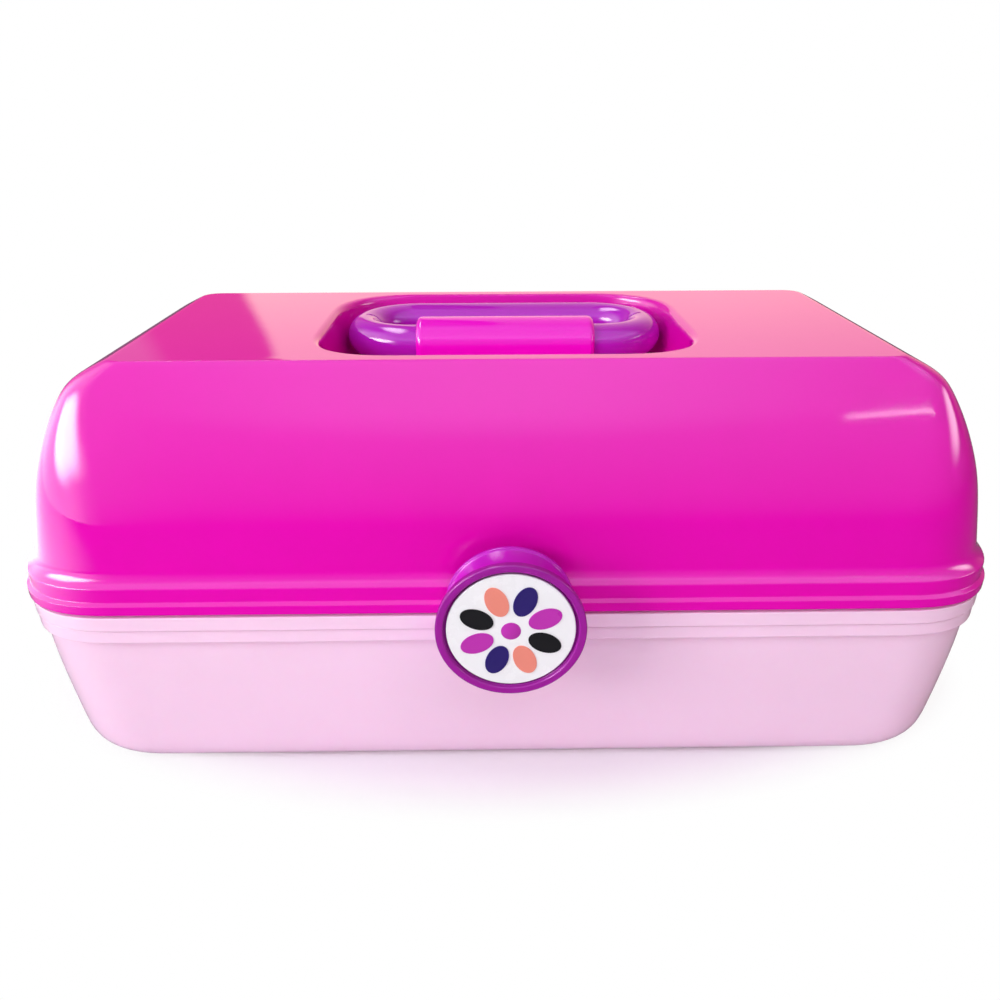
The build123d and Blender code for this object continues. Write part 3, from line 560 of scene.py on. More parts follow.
def spline_through(table, steps):
    """A smooth cubic path through every row of a table of sections."""
    control = [list(row) for row in table]
    for _ in range(SPLINE_ROUNDS):
        for index in range(1, len(table) - 1):
            control[index] = [
                (6 * here - before - after) / 4 for here, before, after in zip(
                    table[index], control[index - 1], control[index + 1])]
    first = [2 * near - far for near, far in zip(control[0], control[1])]
    last = [2 * near - far for near, far in zip(control[-1], control[-2])]
    control = [first] + control + [last]
    path = []
    for index in range(steps + 1):
        place = (len(table) - 1) * index / steps
        span = min(int(place), len(table) - 2)
        t = place - span
        weights = (
            (1 - t) ** 3 / 6,
            (3 * t ** 3 - 6 * t ** 2 + 4) / 6,
            (-3 * t ** 3 + 3 * t ** 2 + 3 * t + 1) / 6,
            t ** 3 / 6,
        )
        path.append(tuple(
            sum(weight * row[column] for weight, row in zip(weights, control[span:span + 4]))
            for column in range(len(table[0]))
        ))
    return path


def soften(path, radii):
    """A path of sections with its corners rounded; radii gives each point's softness."""
    result = [path[0]]
    for index in range(1, len(path) - 1):
        radius = radii.get(index, 0.0)
        before, here, after = (Vector(path[index + k]) for k in (-1, 0, 1))
        if radius <= 0:
            result.append(tuple(here))
            continue
        back = before - here
        ahead = after - here
        first = here + back * min(0.49, radius / max(back.length, MERGE))
        last = here + ahead * min(0.49, radius / max(ahead.length, MERGE))
        for step in range(EDGE_STEPS + 1):
            t = step / EDGE_STEPS
            result.append(tuple(
                first * (1 - t) ** 2 + here * (2 * t * (1 - t)) + last * t ** 2))
    result.append(path[-1])
    return result


def bridge(form, rings):
    """Rings of equal count joined by faces; returns their rows of vertices."""
    rows = [[form.verts.new(point) for point in points] for points in rings]
    for lower, upper in zip(rows, rows[1:]):
        for index in range(len(lower)):
            after = (index + 1) % len(lower)
            form.faces.new((lower[index], lower[after], upper[after], upper[index]))
    return rows


def skin_mesh(name, rings):
    """A mesh that joins rings of equal count, closed by flat caps."""
    form = bmesh.new()
    rows = bridge(form, rings)
    form.faces.new(list(reversed(rows[0])))
    form.faces.new(rows[-1])
    return closed_mesh(name, form, 1e-7)


def lathe_mesh(name, profile, centre, steps=LATHE_STEPS):
    """A closed profile of (radius, y) points, in metres, turned round an axis along Y."""
    form = bmesh.new()
    rows = []
    for step in range(steps):
        angle = 2 * math.pi * step / steps
        rows.append([
            form.verts.new((
                centre[0] + radius * math.cos(angle), y, centre[2] + radius * math.sin(angle)))
            for radius, y in profile])
    for here, after in zip(rows, rows[1:] + rows[:1]):
        for point in range(len(profile) - 1):
            form.faces.new((here[point], here[point + 1], after[point + 1], after[point]))
    return closed_mesh(name, form, MERGE)


def arc(middle, y, radius, start, steps=4):
    """A quarter round in a lathe's profile, from a start angle in degrees."""
    points = []
    for step in range(steps + 1):
        angle = math.radians(start + 90 * step / steps)
        points.append((middle + radius * math.cos(angle), y + radius * math.sin(angle)))
    return points


def rod_mesh(name, radius, low, high, y, z, bore=0.0, soft=0.25):
    """A bar along X with softened ends, in mm, hollow where it has a bore."""
    edge = min(soft, (high - low) / 4)
    profile = [
        (bore, low), (radius - edge, low), (radius, low + edge),
        (radius, high - edge), (radius - edge, high), (bore, high)]
    if bore:
        profile.append((bore, low))
    turned = lathe_mesh(name, [(r * MM, x * MM) for r, x in profile], (0, 0, 0), ROD_STEPS)
    turned.transform(Matrix(((0, 1, 0, 0), (-1, 0, 0, 0), (0, 0, 1, 0), (0, 0, 0, 1))))
    turned.transform(Matrix.Translation(Vector((0, y, z)) * MM))
    return turned


def box_mesh(name, low, high, soft=0.3):
    """A block between two corners in mm, with softened edges."""
    form = bmesh.new()
    middle = (Vector(low) + Vector(high)) / 2
    size = Vector(high) - Vector(low)
    matrix = Matrix.Translation(middle * MM) @ Matrix.Diagonal((*(size * MM), 1))
    bmesh.ops.create_cube(form, size=1.0, matrix=matrix)
    bmesh.ops.bevel(
        form, geom=list(form.edges), offset=soft * MM, segments=3, profile=0.5,
        affect="EDGES")
    return closed_mesh(name, form)


def joined(name, meshes):
    """Several meshes as one."""
    form = bmesh.new()
    for mesh in meshes:
        form.from_mesh(mesh)
    result = bpy.data.meshes.new(name)
    form.to_mesh(result)
    form.free()
    for mesh in meshes:
        bpy.data.meshes.remove(mesh)
    return result


def subtract(mesh, cutter):
    """A mesh with another cut out of it."""
    body = bpy.data.objects.new("cut_body", mesh)
    tool = bpy.data.objects.new("cut_tool", cutter)
    for item in (body, tool):
        bpy.context.scene.collection.objects.link(item)
    modifier = body.modifiers.new("Cut", "BOOLEAN")
    modifier.operation = "DIFFERENCE"
    modifier.solver = "EXACT"
    modifier.object = tool
    graph = bpy.context.evaluated_depsgraph_get()
    result = bpy.data.meshes.new_from_object(body.evaluated_get(graph))
    bpy.data.objects.remove(body)
    bpy.data.objects.remove(tool)
    smooth(result)
    return result


# ---- shells


def inset(section, amount, lift):
    """A section moved inwards and up or down, in mm."""
    height, half_x, half_y, corner = section
    return (height + lift, half_x - amount, half_y - amount, max(corner - amount, 1.0))


def knuckle_meshes(name, low, high, web_low, web_high):
    """One hinge knuckle and the web that ties it to the shell, on one side."""
    barrel = rod_mesh(name, KNUCKLE_RADIUS, low, high, HINGE_Y, HINGE_Z, bore=PIN_RADIUS)
    web = box_mesh(
        name + "_web", (low, WEB_FRONT, web_low),
        (high, HINGE_Y - PIN_RADIUS - WEB_GAP, web_high))
    return [barrel, web]


def link_boss(name, side, ends, pivot):
    """The boss on one end wall that a pin of the tray's arms runs in."""
    low, high = sorted(side * end for end in ends)
    return rod_mesh(name, BOSS_RADIUS, low, high, *pivot, bore=BOSS_BORE)


class CASE_OT_base(Operator):
    """Build the pale base shell with its rim bands, lip, knuckles and latch ear"""
    bl_idname = "case.base"
    bl_label = "Base shell"

    def execute(self, context):
        sizes = context.scene.case_shell
        wall, edge = sizes.wall / MM, sizes.edge / MM
        outer = spline_through(BASE_WALL, DOME_STEPS)
        inner = [inset(section, wall, wall) for section in reversed(outer)]
        path = BASE_FOOT + outer + BASE_BANDS + inner + [(wall, *BASE_INSIDE)]
        turn_at = len(BASE_FOOT) + len(outer)
        soft = {turn_at + k: BAND_SOFTNESS.get(k, edge) for k in range(len(BASE_BANDS))}
        soft[len(BASE_FOOT) - 1] = FOOT_SOFTNESS
        rings = [ring(section) for section in soften(path, soft)]
        meshes = [skin_mesh("base_shell_skin", rings)]
        for side in (-1, 1):
            middle = side * HINGE_X
            for near, far in ((-HINGE_HALF, -LID_KNUCKLE_HALF - KNUCKLE_GAP),
                              (LID_KNUCKLE_HALF + KNUCKLE_GAP, HINGE_HALF)):
                meshes += knuckle_meshes(
                    "base_knuckle", middle + near, middle + far,
                    HINGE_Z - KNUCKLE_RADIUS, HINGE_Z - KNUCKLE_GAP)
            meshes.append(link_boss("base_boss", side, BASE_BOSS_ENDS, BASE_PIVOT))
        meshes.append(rod_mesh(
            "latch_ear", EAR_RADIUS, -EAR_HALF, EAR_HALF, *EAR_PLACE, bore=EAR_BORE))
        meshes.append(box_mesh("latch_ear_root", *EAR_ROOT))
        shell = add_piece(
            "base_moulding", joined("base_moulding", meshes), "base", "base",
            "base_shell", slot="base_plastic")
        even_normals(shell)
        return {"FINISHED"}


def bead_path():
    """The hollow sweep from the foot of the lid's wall out to the skirt."""
    path = []
    for step in range(1, BEAD_STEPS):
        t = step / BEAD_STEPS
        out = 0.2 * t + 0.8 * t * t
        path.append(tuple(
            near + (far - near) * part for near, far, part in zip(
                LID_WALL[0], LID_SKIRT[0], (t, out, out, out))))
    return path


def cradle_mesh():
    """The rib in the well that the handle's bar lies on, hollowed to the bar."""
    pivot = (HANDLE_LOW[2] + HANDLE_HIGH[2]) / 2 / MM
    bore = (HANDLE_HIGH[2] - HANDLE_LOW[2]) / 2 / MM + BAR_GAP
    half_x = SADDLE_HIGH[0] / MM - CRADLE_INSET
    half_y = bore - CRADLE_GAP
    root = WELL_FLOOR - CRADLE_ROOT
    section = [(-half_y, root), (half_y, root)]
    for step in range(CRADLE_STEPS + 1):
        y = half_y * (1 - 2 * step / CRADLE_STEPS)
        section.append((y, pivot - math.sqrt(bore * bore - y * y)))
    return skin_mesh("cradle", [
        [Vector((x, y, z)) * MM for y, z in section] for x in (-half_x, half_x)])


class CASE_OT_lid(Operator):
    """Build the domed lid shell with its handle well, skirt bands and knuckles"""
    bl_idname = "case.lid"
    bl_label = "Lid shell"

    def execute(self, context):
        sizes = context.scene.case_shell
        wall, edge = sizes.wall / MM, sizes.edge / MM
        dome = list(reversed(spline_through(LID_WALL, DOME_STEPS)))
        bead = bead_path()
        inner = [inset(section, wall, -wall) for section in reversed(dome)]
        path = WELL_WALL + dome + bead + LID_SKIRT + inner + WELL_BACK
        crease_at = len(WELL_WALL)
        skirt_at = crease_at + len(dome) + len(bead)
        soft = {
            1: sizes.well_floor / MM, 2: sizes.well_rim / MM, crease_at: sizes.crease / MM,
            skirt_at: edge, skirt_at + 1: LEDGE_SOFTNESS, skirt_at + 2: BROW_SHARE * edge,
            skirt_at + 3: edge, skirt_at + 4: edge,
        }
        rings = [
            ring(section, WELL_SHIFT if section[1] < WELL_REACH else 0.0)
            for section in soften(path, soft)]
        meshes = [skin_mesh("lid_shell_skin", rings)]
        for side in (-1, 1):
            middle = side * HINGE_X
            meshes += knuckle_meshes(
                "lid_knuckle", middle - LID_KNUCKLE_HALF, middle + LID_KNUCKLE_HALF,
                HINGE_Z + KNUCKLE_GAP, HINGE_Z + KNUCKLE_RADIUS)
            meshes.append(link_boss("lid_boss", side, LID_BOSS_ENDS, LID_PIVOT))
            for y in MIRROR_BOSS_Y:
                boss = rod_mesh(
                    "mirror_boss", MIRROR_BOSS_RADIUS, *MIRROR_BOSS_ENDS, 0.0, 0.0,
                    bore=MIRROR_BOSS_BORE)
                boss.transform(Matrix.Rotation(math.radians(-90), 4, "Y"))
                boss.transform(Matrix.Translation(Vector((side * MIRROR_BOSS_X, y, 0.0)) * MM))
                meshes.append(boss)
        meshes.append(cradle_mesh())
        shell = add_piece(
            "lid_moulding", joined("lid_moulding", meshes), "lid", "lid",
            "lid_shell", slot="lid_plastic")
        even_normals(shell)
        return {"FINISHED"}


# ---- geometry nodes


def node_tree(name, inputs):
    """An empty geometry node tree with its named inputs, and their sockets inside it."""
    tree = bpy.data.node_groups.new(name, "GeometryNodeTree")
    for label, kind, value in inputs + [("Finish", "Material", None)]:
        socket = tree.interface.new_socket(
            label, in_out="INPUT", socket_type="NodeSocket" + kind)
        if value is not None:
            socket.default_value = value
    tree.interface.new_socket("Mesh", in_out="OUTPUT", socket_type="NodeSocketGeometry")
    return tree, add(tree, "NodeGroupInput").outputs


def closed_tree(tree, start, geometry):
    """The tree with its end: the geometry made real, in the finish that is asked for."""
    real = add(tree, "GeometryNodeRealizeInstances", {"Geometry": geometry})
    paint = add(tree, "GeometryNodeSetMaterial", {
        "Geometry": real.outputs["Geometry"], "Material": start["Finish"]})
    add(tree, "NodeGroupOutput", {"Mesh": paint.outputs["Geometry"]})
    return tree


def run_tree(name, tree, values):
    """The tree's result as a plain mesh, with no modifier left."""
    holder = bpy.data.objects.new(name + "_maker", bpy.data.meshes.new(name + "_maker"))
    bpy.context.scene.collection.objects.link(holder)
    modifier = holder.modifiers.new("Maker", "NODES")
    modifier.node_group = tree
    for item in tree.interface.items_tree:
        if item.in_out == "INPUT" and item.name in values:
            modifier[item.identifier] = values[item.name]
    graph = bpy.context.evaluated_depsgraph_get()
    mesh = bpy.data.meshes.new_from_object(holder.evaluated_get(graph))
    mesh.name = name
    bpy.data.objects.remove(holder)
    return mesh


def handle_tree():
    """A stadium loop of round tube: a quadrilateral curve with fully rounded ends."""
    tree, start = node_tree("Handle loop", [
        ("Length", "Float", 0.1), ("Depth", "Float", 0.04), ("Tube", "Float", 0.007),
        ("Around", "Int", 32), ("Bend", "Int", 16)])
    outline = add(tree, "GeometryNodeCurvePrimitiveQuadrilateral", {
        "Width": start["Length"], "Height": start["Depth"]})
    bend = add(tree, "GeometryNodeFilletCurve", {
        "Curve": outline.outputs["Curve"], "Count": start["Bend"],
        "Radius": calc(tree, "MULTIPLY", start["Depth"], 0.4999)}, mode="POLY")
    section = add(tree, "GeometryNodeCurvePrimitiveCircle", {
        "Resolution": start["Around"], "Radius": start["Tube"]})
    sweep = add(tree, "GeometryNodeCurveToMesh", {
        "Curve": bend.outputs["Curve"], "Profile Curve": section.outputs["Curve"]})
    polish = add(tree, "GeometryNodeSetShadeSmooth", {"Geometry": sweep.outputs["Mesh"]})
    return closed_tree(tree, start, polish.outputs["Geometry"])


def round_place(tree, start):
    """Each point's place on the ring, evenly parted by its index."""
    index = add(tree, "GeometryNodeInputIndex").outputs["Index"]
    angle = calc(tree, "MULTIPLY", calc(tree, "DIVIDE", index, start["Count"]), 2 * math.pi)
    reaches = [
        calc(tree, "MULTIPLY", calc(tree, wave, angle), start["Ring"])
        for wave in ("COSINE", "SINE")]
    return add(tree, "ShaderNodeCombineXYZ", dict(zip("XY", reaches))).outputs["Vector"]


def petal_tree():
    """Flat oval petals set round a circle, each a thin closed slab."""
    tree, start = node_tree("Disc petals", [
        ("Count", "Int", 3), ("Ring", "Float", 0.01), ("Length", "Float", 0.01),
        ("Width", "Float", 0.006), ("Thickness", "Float", 0.0002), ("Turn", "Float", 0.0)])
    places = add(tree, "GeometryNodePoints", {
        "Count": start["Count"], "Position": round_place(tree, start)})
    oval = add(tree, "GeometryNodeMeshCylinder", {
        "Vertices": PETAL_POINTS, "Radius": 0.5, "Depth": start["Thickness"]})
    stretch = add(tree, "ShaderNodeCombineXYZ", {
        "X": start["Length"], "Y": start["Width"], "Z": 1.0})
    position = add(tree, "GeometryNodeInputPosition")
    outward = add(tree, "FunctionNodeAlignRotationToVector", {
        "Vector": position.outputs["Position"]}, axis="X")
    copies = add(tree, "GeometryNodeInstanceOnPoints", {
        "Points": places.outputs["Points"], "Instance": oval.outputs["Mesh"],
        "Rotation": outward.outputs["Rotation"], "Scale": stretch.outputs["Vector"]})
    angles = add(tree, "ShaderNodeCombineXYZ", {"Z": start["Turn"]})
    turned = add(tree, "GeometryNodeTransform", {
        "Geometry": copies.outputs["Instances"], "Rotation": angles.outputs["Vector"]})
    return closed_tree(tree, start, turned.outputs["Geometry"])


# ---- handle and saddle


class CASE_OT_handle(Operator):
    """Build the round-tube handle loop"""
    bl_idname = "case.handle"
    bl_label = "Handle"

    def execute(self, context):
        sizes = context.scene.case_handle
        low, high = Vector(HANDLE_LOW), Vector(HANDLE_HIGH)
        loop = run_tree("handle_loop", handle_tree(), {
            "Length": high.x - low.x - 2 * sizes.tube,
            "Depth": high.y - low.y - 2 * sizes.tube,
            "Tube": sizes.tube,
            "Around": sizes.around,
            "Bend": sizes.bend,
            "Finish": finishes()["handle"],
        })
        loop.transform(Matrix.Translation((low + high) / 2))
        form = bmesh.new()
        form.from_mesh(loop)
        mesh = closed_mesh("handle_loop", form, MERGE)
        add_piece("handle_loop", mesh, "handle", "handle", "handle", slot="handle_plastic")
        return {"FINISHED"}


class CASE_OT_saddle(Operator):
    """Build the half-round cover over the handle's bar, with its snap clips"""
    bl_idname = "case.saddle"
    bl_label = "Handle saddle"

    def execute(self, context):
        half_x = SADDLE_HIGH[0] / MM
        pivot = (HANDLE_LOW[2] + HANDLE_HIGH[2]) / 2 / MM
        outer = SADDLE_HIGH[2] / MM - pivot
        bore = (HANDLE_HIGH[2] - HANDLE_LOW[2]) / 2 / MM + BAR_GAP
        soft = SADDLE_SOFTNESS

        def legs(x, radius, way):
            """Up one leg, over the top and down the other, or the same way back."""
            arch = [(way * radius, WELL_FLOOR)]
            for step in range(SADDLE_STEPS + 1):
                angle = math.pi * step / SADDLE_STEPS
                arch.append((
                    way * radius * math.cos(angle), pivot + radius * math.sin(angle)))
            arch.append((-way * radius, WELL_FLOOR))
            return [Vector((x, y, z)) * MM for y, z in arch]

        ends = []
        for step in range(SADDLE_END_STEPS + 1):
            angle = math.pi / 2 * step / SADDLE_END_STEPS
            ends.append((half_x - soft * (1 - math.sin(angle)), soft * (1 - math.cos(angle))))
        stations = [(-x, shrink) for x, shrink in reversed(ends)] + ends
        form = bmesh.new()
        rows = bridge(form, [
            legs(x, outer - min(shrink, outer - bore - SADDLE_LEAST_WALL), -1)
            + legs(x, bore, 1)
            for x, shrink in stations])
        count = len(rows[0])
        for row in (rows[0], rows[-1]):
            for index in range(count // 2 - 1):
                form.faces.new((
                    row[index], row[index + 1], row[count - 2 - index], row[count - 1 - index]))
        meshes = [closed_mesh("saddle_cover", form)]
        for side_x in (-1, 1):
            for side_y in (-1, 1):
                meshes += self.clip(side_x * (half_x - CLIP_INSET), side_y, (outer + bore) / 2)
        cover = add_piece(
            "saddle_cover", joined("saddle_cover", meshes), "saddle", "lid",
            "handle_saddle", slot="lid_plastic")
        even_normals(cover)
        return {"FINISHED"}

    def clip(self, x, side_y, y):
        """A snap clip through the well's floor: its stem and its outward barb."""
        low = WELL_UNDERSIDE - CLIP_THICKNESS
        half = CLIP_THICKNESS / 2
        parts = []
        for near, far, top in (
                (-half, half, WELL_FLOOR + 0.5),
                (half - CLIP_OVERLAP, half + CLIP_BARB, WELL_UNDERSIDE - 0.05)):
            first, last = sorted((side_y * (y + near), side_y * (y + far)))
            parts.append(box_mesh(
                "clip", (x - CLIP_LENGTH / 2, first, low), (x + CLIP_LENGTH / 2, last, top), 0.15))
        return parts


# ---- latch


class CASE_OT_latch(Operator):
    """Build the waisted latch drum, its disc and the disc's inlaid petals"""
    bl_idname = "case.latch"
    bl_label = "Latch"

    def execute(self, context):
        low, high = Vector(LATCH_LOW), Vector(LATCH_HIGH)
        centre = (low + high) / 2
        profile = self.drum_profile(low.y / MM, high.y / MM, (high.x - low.x) / 2 / MM)
        drum = lathe_mesh("latch_drum", [(r * MM, y * MM) for r, y in profile], centre)
        drum = subtract(drum, box_mesh("notch", *NOTCH, 0.2))
        piece = add_piece(
            "latch_drum", joined("latch_drum", [drum, box_mesh("hook", *HOOK)]), "latch",
            "latch", "latch_body", slot="latch_plastic")
        even_normals(piece)

        radius = (DISC_HIGH[0] - DISC_LOW[0]) / 2 - DISC_GAP * MM
        front, back = DISC_LOW[1], DISC_HIGH[1]
        soft = DISC_SOFTNESS * MM
        profile = [(0.0, front), *arc(radius - soft, front + soft, soft, 270)]
        profile += [(radius, back), (0.0, back)]
        disc = add_piece(
            "latch_face", lathe_mesh("latch_face", profile, centre), "disc", "latch",
            "latch_disc", slot="disc_plastic")
        even_normals(disc)
        self.inlays(context.scene.case_disc, centre, front)
        return {"FINISHED"}

    def drum_profile(self, face, rear, radius):
        """The drum's half section in mm: rim, waisted neck, rear lip and hollow inside."""
        edge = RIM_SOFTNESS
        face_back = face + RIM_DEPTH
        plate_face = face + DISC_RECESS + DISC_DEPTH
        plate_back = plate_face + PLATE
        inner = radius - RIM_WIDTH
        profile = [(0.0, plate_face), (inner, plate_face)]
        profile += arc(inner + edge, face + edge, edge, 180)
        profile += arc(radius - edge, face + edge, edge, 270)
        profile += arc(radius - edge, face_back - edge, edge, 0)
        neck_radius = radius - edge * RIM_SHOULDER
        neck_end = rear - REAR_LIP
        waist_y = face + WAIST_DEPTH
        for step in range(1, NECK_STEPS + 1):
            y = face_back + (neck_end - face_back) * step / NECK_STEPS
            if y < waist_y:
                part = (waist_y - y) / (waist_y - face_back)
                swell = neck_radius - WAIST_RADIUS
            else:
                part = (y - waist_y) / (neck_end - waist_y)
                swell = REAR_RADIUS - REAR_STEP - WAIST_RADIUS
            profile.append((WAIST_RADIUS + swell * part ** WAIST_POWER, y))
        for step in range(LIP_STEPS + 1):
            angle = math.pi * step / LIP_STEPS
            profile.append((
                REAR_RADIUS - REAR_STEP / 2 * (1 - math.sin(angle)),
                neck_end + REAR_LIP / 2 * (1 - math.cos(angle))))
        profile.append((REAR_RADIUS - DRUM_WALL, rear))
        for step in range(1, INSIDE_STEPS + 1):
            t = step / INSIDE_STEPS
            reach = WAIST_RADIUS - DRUM_WALL + (REAR_RADIUS - WAIST_RADIUS) * (1 - t)
            profile.append((
                reach - math.sin(math.pi * t) * INSIDE_DIP, rear + (plate_back - rear) * t))
        return profile + [(0.0, plate_back)]

    def inlays(self, sizes, centre, front):
        """Petals of four colours and a round heart, set into the disc's face."""
        upright = Matrix.Translation((centre.x, front - sizes.inlay / 2, centre.z))
        upright = upright @ Matrix.Rotation(math.radians(90), 4, "X")
        tree = petal_tree()
        inks = ("ink_violet", "ink_navy", "ink_coral", "ink_black")
        for index, ink in enumerate(inks):
            mesh = run_tree("petals_" + ink, tree, {
                "Count": sizes.petals,
                "Ring": sizes.petal_ring,
                "Length": sizes.petal_length,
                "Width": sizes.petal_width,
                "Thickness": 3 * sizes.inlay,
                "Turn": math.radians(22.5) + index * 2 * math.pi / (len(inks) * sizes.petals),
                "Finish": finishes()[ink],
            })
            mesh.transform(upright)
            add_piece("petals_" + ink, mesh, ink, "latch", slot="disc_plastic")
        heart, soft = HEART_RADIUS * MM, HEART_SOFTNESS * MM
        top, root = front - sizes.inlay, front + sizes.inlay
        profile = [
            (0.0, top), (heart - soft, top), (heart, top + soft), (heart, root), (0.0, root)]
        mesh = lathe_mesh("disc_heart", profile, centre, 48)
        add_piece("disc_heart", mesh, "ink_violet", "latch", slot="disc_plastic")


# ---- pins, tray, mirror


class CASE_OT_inside(Operator):
    """Finish the tray, its arms, the mirror and the pins"""
    bl_idname = "case.inside"
    bl_label = "Tray, mirror and pins"

    def execute(self, context):
        for side in ("left", "right"):
            finish_node("tray_arm_" + side, "tray")
            for pin in ("hinge_pin_", "arm_base_pin_", "arm_tray_pin_", "tray_lid_pin_"):
                finish_node(pin + side, "steel")
        for node, finish in (
                ("latch_pin", "steel"), ("tray", "tray"), ("mirror_frame", "lid"),
                ("mirror_glass", "mirror"), ("mirror_screws", "steel")):
            finish_node(node, finish)
        return {"FINISHED"}


# ---- stage


def soft_lamp(name, place, size, watts, tone=(1, 1, 1), mirrored=False, roll=0.0):
    """A rectangular softbox that faces the case, and only lights it or only shines in it."""
    lamp = bpy.data.lights.new(name, "AREA")
    lamp.shape = "RECTANGLE"
    lamp.size, lamp.size_y = size
    lamp.energy = watts
    lamp.color = tone
    holder = bpy.data.objects.new(name, lamp)
    bpy.context.scene.collection.objects.link(holder)
    holder.location = place
    case_middle = Vector((0.0, 0.0, 0.08))
    facing = (case_middle - Vector(place)).normalized()
    aim = facing.to_track_quat("-Z", "Y") @ Quaternion((0, 0, 1), math.radians(roll))
    holder.rotation_euler = aim.to_euler()
    holder.visible_glossy = mirrored
    holder.visible_diffuse = not mirrored


class CASE_OT_stage(Operator):
    """Set the pale floor, the lamps and the camera"""
    bl_idname = "case.stage"
    bl_label = "Stage"

    def execute(self, context):
        scene = context.scene
        self.camera(scene)
        self.floor(scene)
        self.lamps()
        self.world(scene)
        scene.view_settings.view_transform = "Standard"
        return {"FINISHED"}

    def camera(self, scene):
        """The camera at the photograph's angle, from its eye, yaw, pitch and roll."""
        stage = scene.case_stage
        lens = bpy.data.cameras.new("photo_camera")
        lens.lens = stage.lens
        lens.sensor_width = 36.0
        lens.clip_start = 0.01
        holder = bpy.data.objects.new("photo_camera", lens)
        scene.collection.objects.link(holder)
        cos, sin = math.cos, math.sin
        yaw, pitch, roll = stage.yaw, stage.pitch, stage.roll
        ahead = Vector((sin(yaw) * cos(pitch), cos(yaw) * cos(pitch), -sin(pitch)))
        level = Vector((cos(yaw), -sin(yaw), 0))
        above = level.cross(ahead)
        right = level * cos(roll) + above * sin(roll)
        up = above * cos(roll) - level * sin(roll)
        facing = Matrix((right, up, -ahead)).transposed().to_4x4()
        holder.matrix_world = Matrix.Translation(stage.eye) @ facing
        scene.camera = holder

    def floor(self, scene):
        """A pale floor; away from the case, the camera sees it turn plain white."""
        size = FLOOR_HALF
        mesh = bpy.data.meshes.new("floor")
        mesh.from_pydata(
            [(-size, -size, 0), (size, -size, 0), (size, size, 0), (-size, size, 0)],
            [], [(0, 1, 2, 3)])
        floor = bpy.data.objects.new("floor", mesh)
        scene.collection.objects.link(floor)
        material, tree = new_material("pale_floor")
        tone = tuple(scene.case_colours.floor)
        surface = dress(tree, {
            "Base Color": blend(tree, noise(tree, 8.0), shade(tone, 0.995), shade(tone, 1.005)),
            "Roughness": 0.6,
        })
        place = coordinates(tree)
        path = add(tree, "ShaderNodeLightPath").outputs
        stretch = add(tree, "ShaderNodeMapping", {"Vector": place, "Scale": FLOOR_STRETCH})
        away = vector(tree, "LENGTH", stretch.outputs["Vector"], out="Value")
        white = calc(
            tree, "MULTIPLY", share(tree, away, *FLOOR_FADE, "SMOOTHSTEP"),
            path["Is Camera Ray"])
        plain = add(tree, "ShaderNodeEmission").outputs["Emission"]
        seen = mix_shader(tree, white, surface.outputs["BSDF"], plain)
        fill(tree, first_node(tree, "OUTPUT_MATERIAL"), {
            "Surface": mix_shader(tree, path["Is Glossy Ray"], seen, self.shine(tree, place))})
        mesh.materials.append(material)

    def shine(self, tree, place):
        """What the case's gloss sees of the floor: a light wedge at the left, the rest dark."""
        left = vector(
            tree, "DOT_PRODUCT", vector(tree, "NORMALIZE", place), (-1, 0, 0), out="Value")
        away = vector(tree, "LENGTH", place, out="Value")
        level = calc(
            tree, "MULTIPLY", share(tree, left, *SHINE_SIDES, "SMOOTHSTEP"),
            share(tree, away, *SHINE_START, "SMOOTHSTEP"))
        strength = calc(tree, "MULTIPLY_ADD", level, SHINE_LEVEL, SHADE_LEVEL)
        return add(tree, "ShaderNodeEmission", {"Strength": strength}).outputs["Emission"]

    def lamps(self):
        """A cool box over the front, a window at the left, a fill behind, a tube in the gloss."""
        soft_lamp("front_softbox", (-0.1, -1.0, 1.5), (2.2, 0.8), 12.5, (0.93, 0.98, 1.12))
        soft_lamp("left_window", (-1.15, -0.8, 0.62), (0.5, 0.5), 9.6)
        soft_lamp("back_fill", (0.3, 1.4, 1.1), (1.6, 0.8), 8.0)
        soft_lamp(
            "front_tube", (0.65, -0.79, 0.69), (0.28, 0.006), 0.13, mirrored=True, roll=-17.0)

    def world(self, scene):
        """White behind the case, an even pale room, and a studio for its gloss."""
        world = bpy.data.worlds.new("studio")
        scene.world = world
        world.use_nodes = True
        tree = world.node_tree
        tree.nodes.clear()
        place = coordinates(tree, "Generated")
        axes = add(tree, "ShaderNodeSeparateXYZ", {"Vector": place}).outputs
        path = add(tree, "ShaderNodeLightPath").outputs
        room = self.background(tree, ramp(tree, axes["X"], -1.0, 1.0, ROOM_TONES), ROOM_LEVEL)
        gloss = self.background(tree, self.studio(tree, place, axes), GLOSS_LEVEL)
        white = self.background(tree, (1, 1, 1, 1), 1.0)
        lit = mix_shader(tree, path["Is Glossy Ray"], room, gloss)
        seen = mix_shader(tree, path["Is Camera Ray"], lit, white)
        add(tree, "ShaderNodeOutputWorld", {"Surface": seen})

    def background(self, tree, tone, strength):
        """A background of a tone, which is a colour or another node's output."""
        node = add(tree, "ShaderNodeBackground", {"Color": tone, "Strength": strength})
        return node.outputs["Background"]

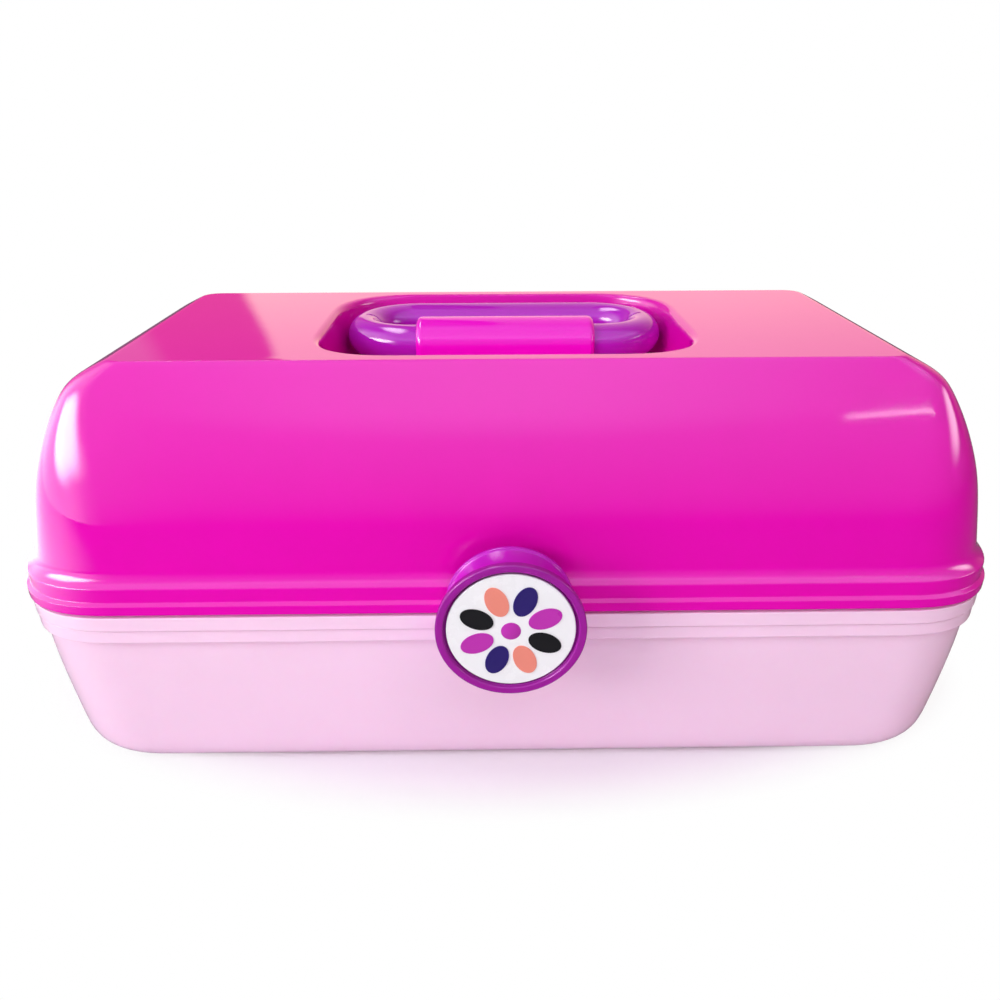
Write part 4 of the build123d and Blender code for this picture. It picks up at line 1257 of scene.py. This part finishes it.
    def studio(self, tree, place, axes):
        """In front a ceiling that brightens upwards, behind warm walls, and the glows."""
        ceiling = ramp(tree, axes["Z"], -0.2, 1.0, CEILING_TONES)
        lean = calc(
            tree, "MULTIPLY_ADD", axes["Z"], WALL_LEAN,
            calc(tree, "ARCTAN2", axes["X"], axes["Y"]))
        walls = ramp(tree, lean, -math.pi / 2, math.pi / 2, [
            (math.radians(at), rgb) for at, rgb in WALL_TONES])
        tone = blend(
            tree, share(tree, axes["Y"], *WALL_START, "SMOOTHSTEP"), ceiling, walls)
        for towards, stretch, outer, inner, strength in STUDIO_GLOWS:
            offset = vector(tree, "SUBTRACT", place, Vector(towards).normalized())
            away = vector(
                tree, "LENGTH", vector(tree, "MULTIPLY", offset, stretch), out="Value")
            spot = share(tree, away, outer, inner, "SMOOTHERSTEP")
            tone = blend(tree, spot, tone, (strength,) * 3)
        return tone


# ---- add-on's face

OPERATORS = (
    CASE_OT_stage, CASE_OT_base, CASE_OT_lid, CASE_OT_handle, CASE_OT_saddle,
    CASE_OT_latch, CASE_OT_inside)
GROUPS = (ShellSizes, HandleSizes, DiscSizes, CaseColours, StageSizes)
SETTINGS = {
    "case_shell": ShellSizes, "case_handle": HandleSizes, "case_disc": DiscSizes,
    "case_colours": CaseColours, "case_stage": StageSizes}


class CASE_PT_panel(Panel):
    """The case's sizes, colours and building steps"""
    bl_idname = "CASE_PT_panel"
    bl_label = "Makeup Case"
    bl_space_type = "VIEW_3D"
    bl_region_type = "UI"
    bl_category = "Makeup Case"

    def draw(self, context):
        for operator in OPERATORS:
            self.layout.operator(operator.bl_idname)
        for name, group in SETTINGS.items():
            box = self.layout.box()
            for field in group.__annotations__:
                box.prop(getattr(context.scene, name), field)


def register():
    for item in GROUPS + OPERATORS + (CASE_PT_panel,):
        bpy.utils.register_class(item)
    for name, group in SETTINGS.items():
        setattr(bpy.types.Scene, name, PointerProperty(type=group))


def unregister():
    for name in SETTINGS:
        delattr(bpy.types.Scene, name)
    for item in reversed(GROUPS + OPERATORS + (CASE_PT_panel,)):
        bpy.utils.unregister_class(item)


def main():
    register()
    for operator in OPERATORS:
        group, name = operator.bl_idname.split(".")
        getattr(getattr(bpy.ops, group), name)()


if __name__ == "__main__":
    main()
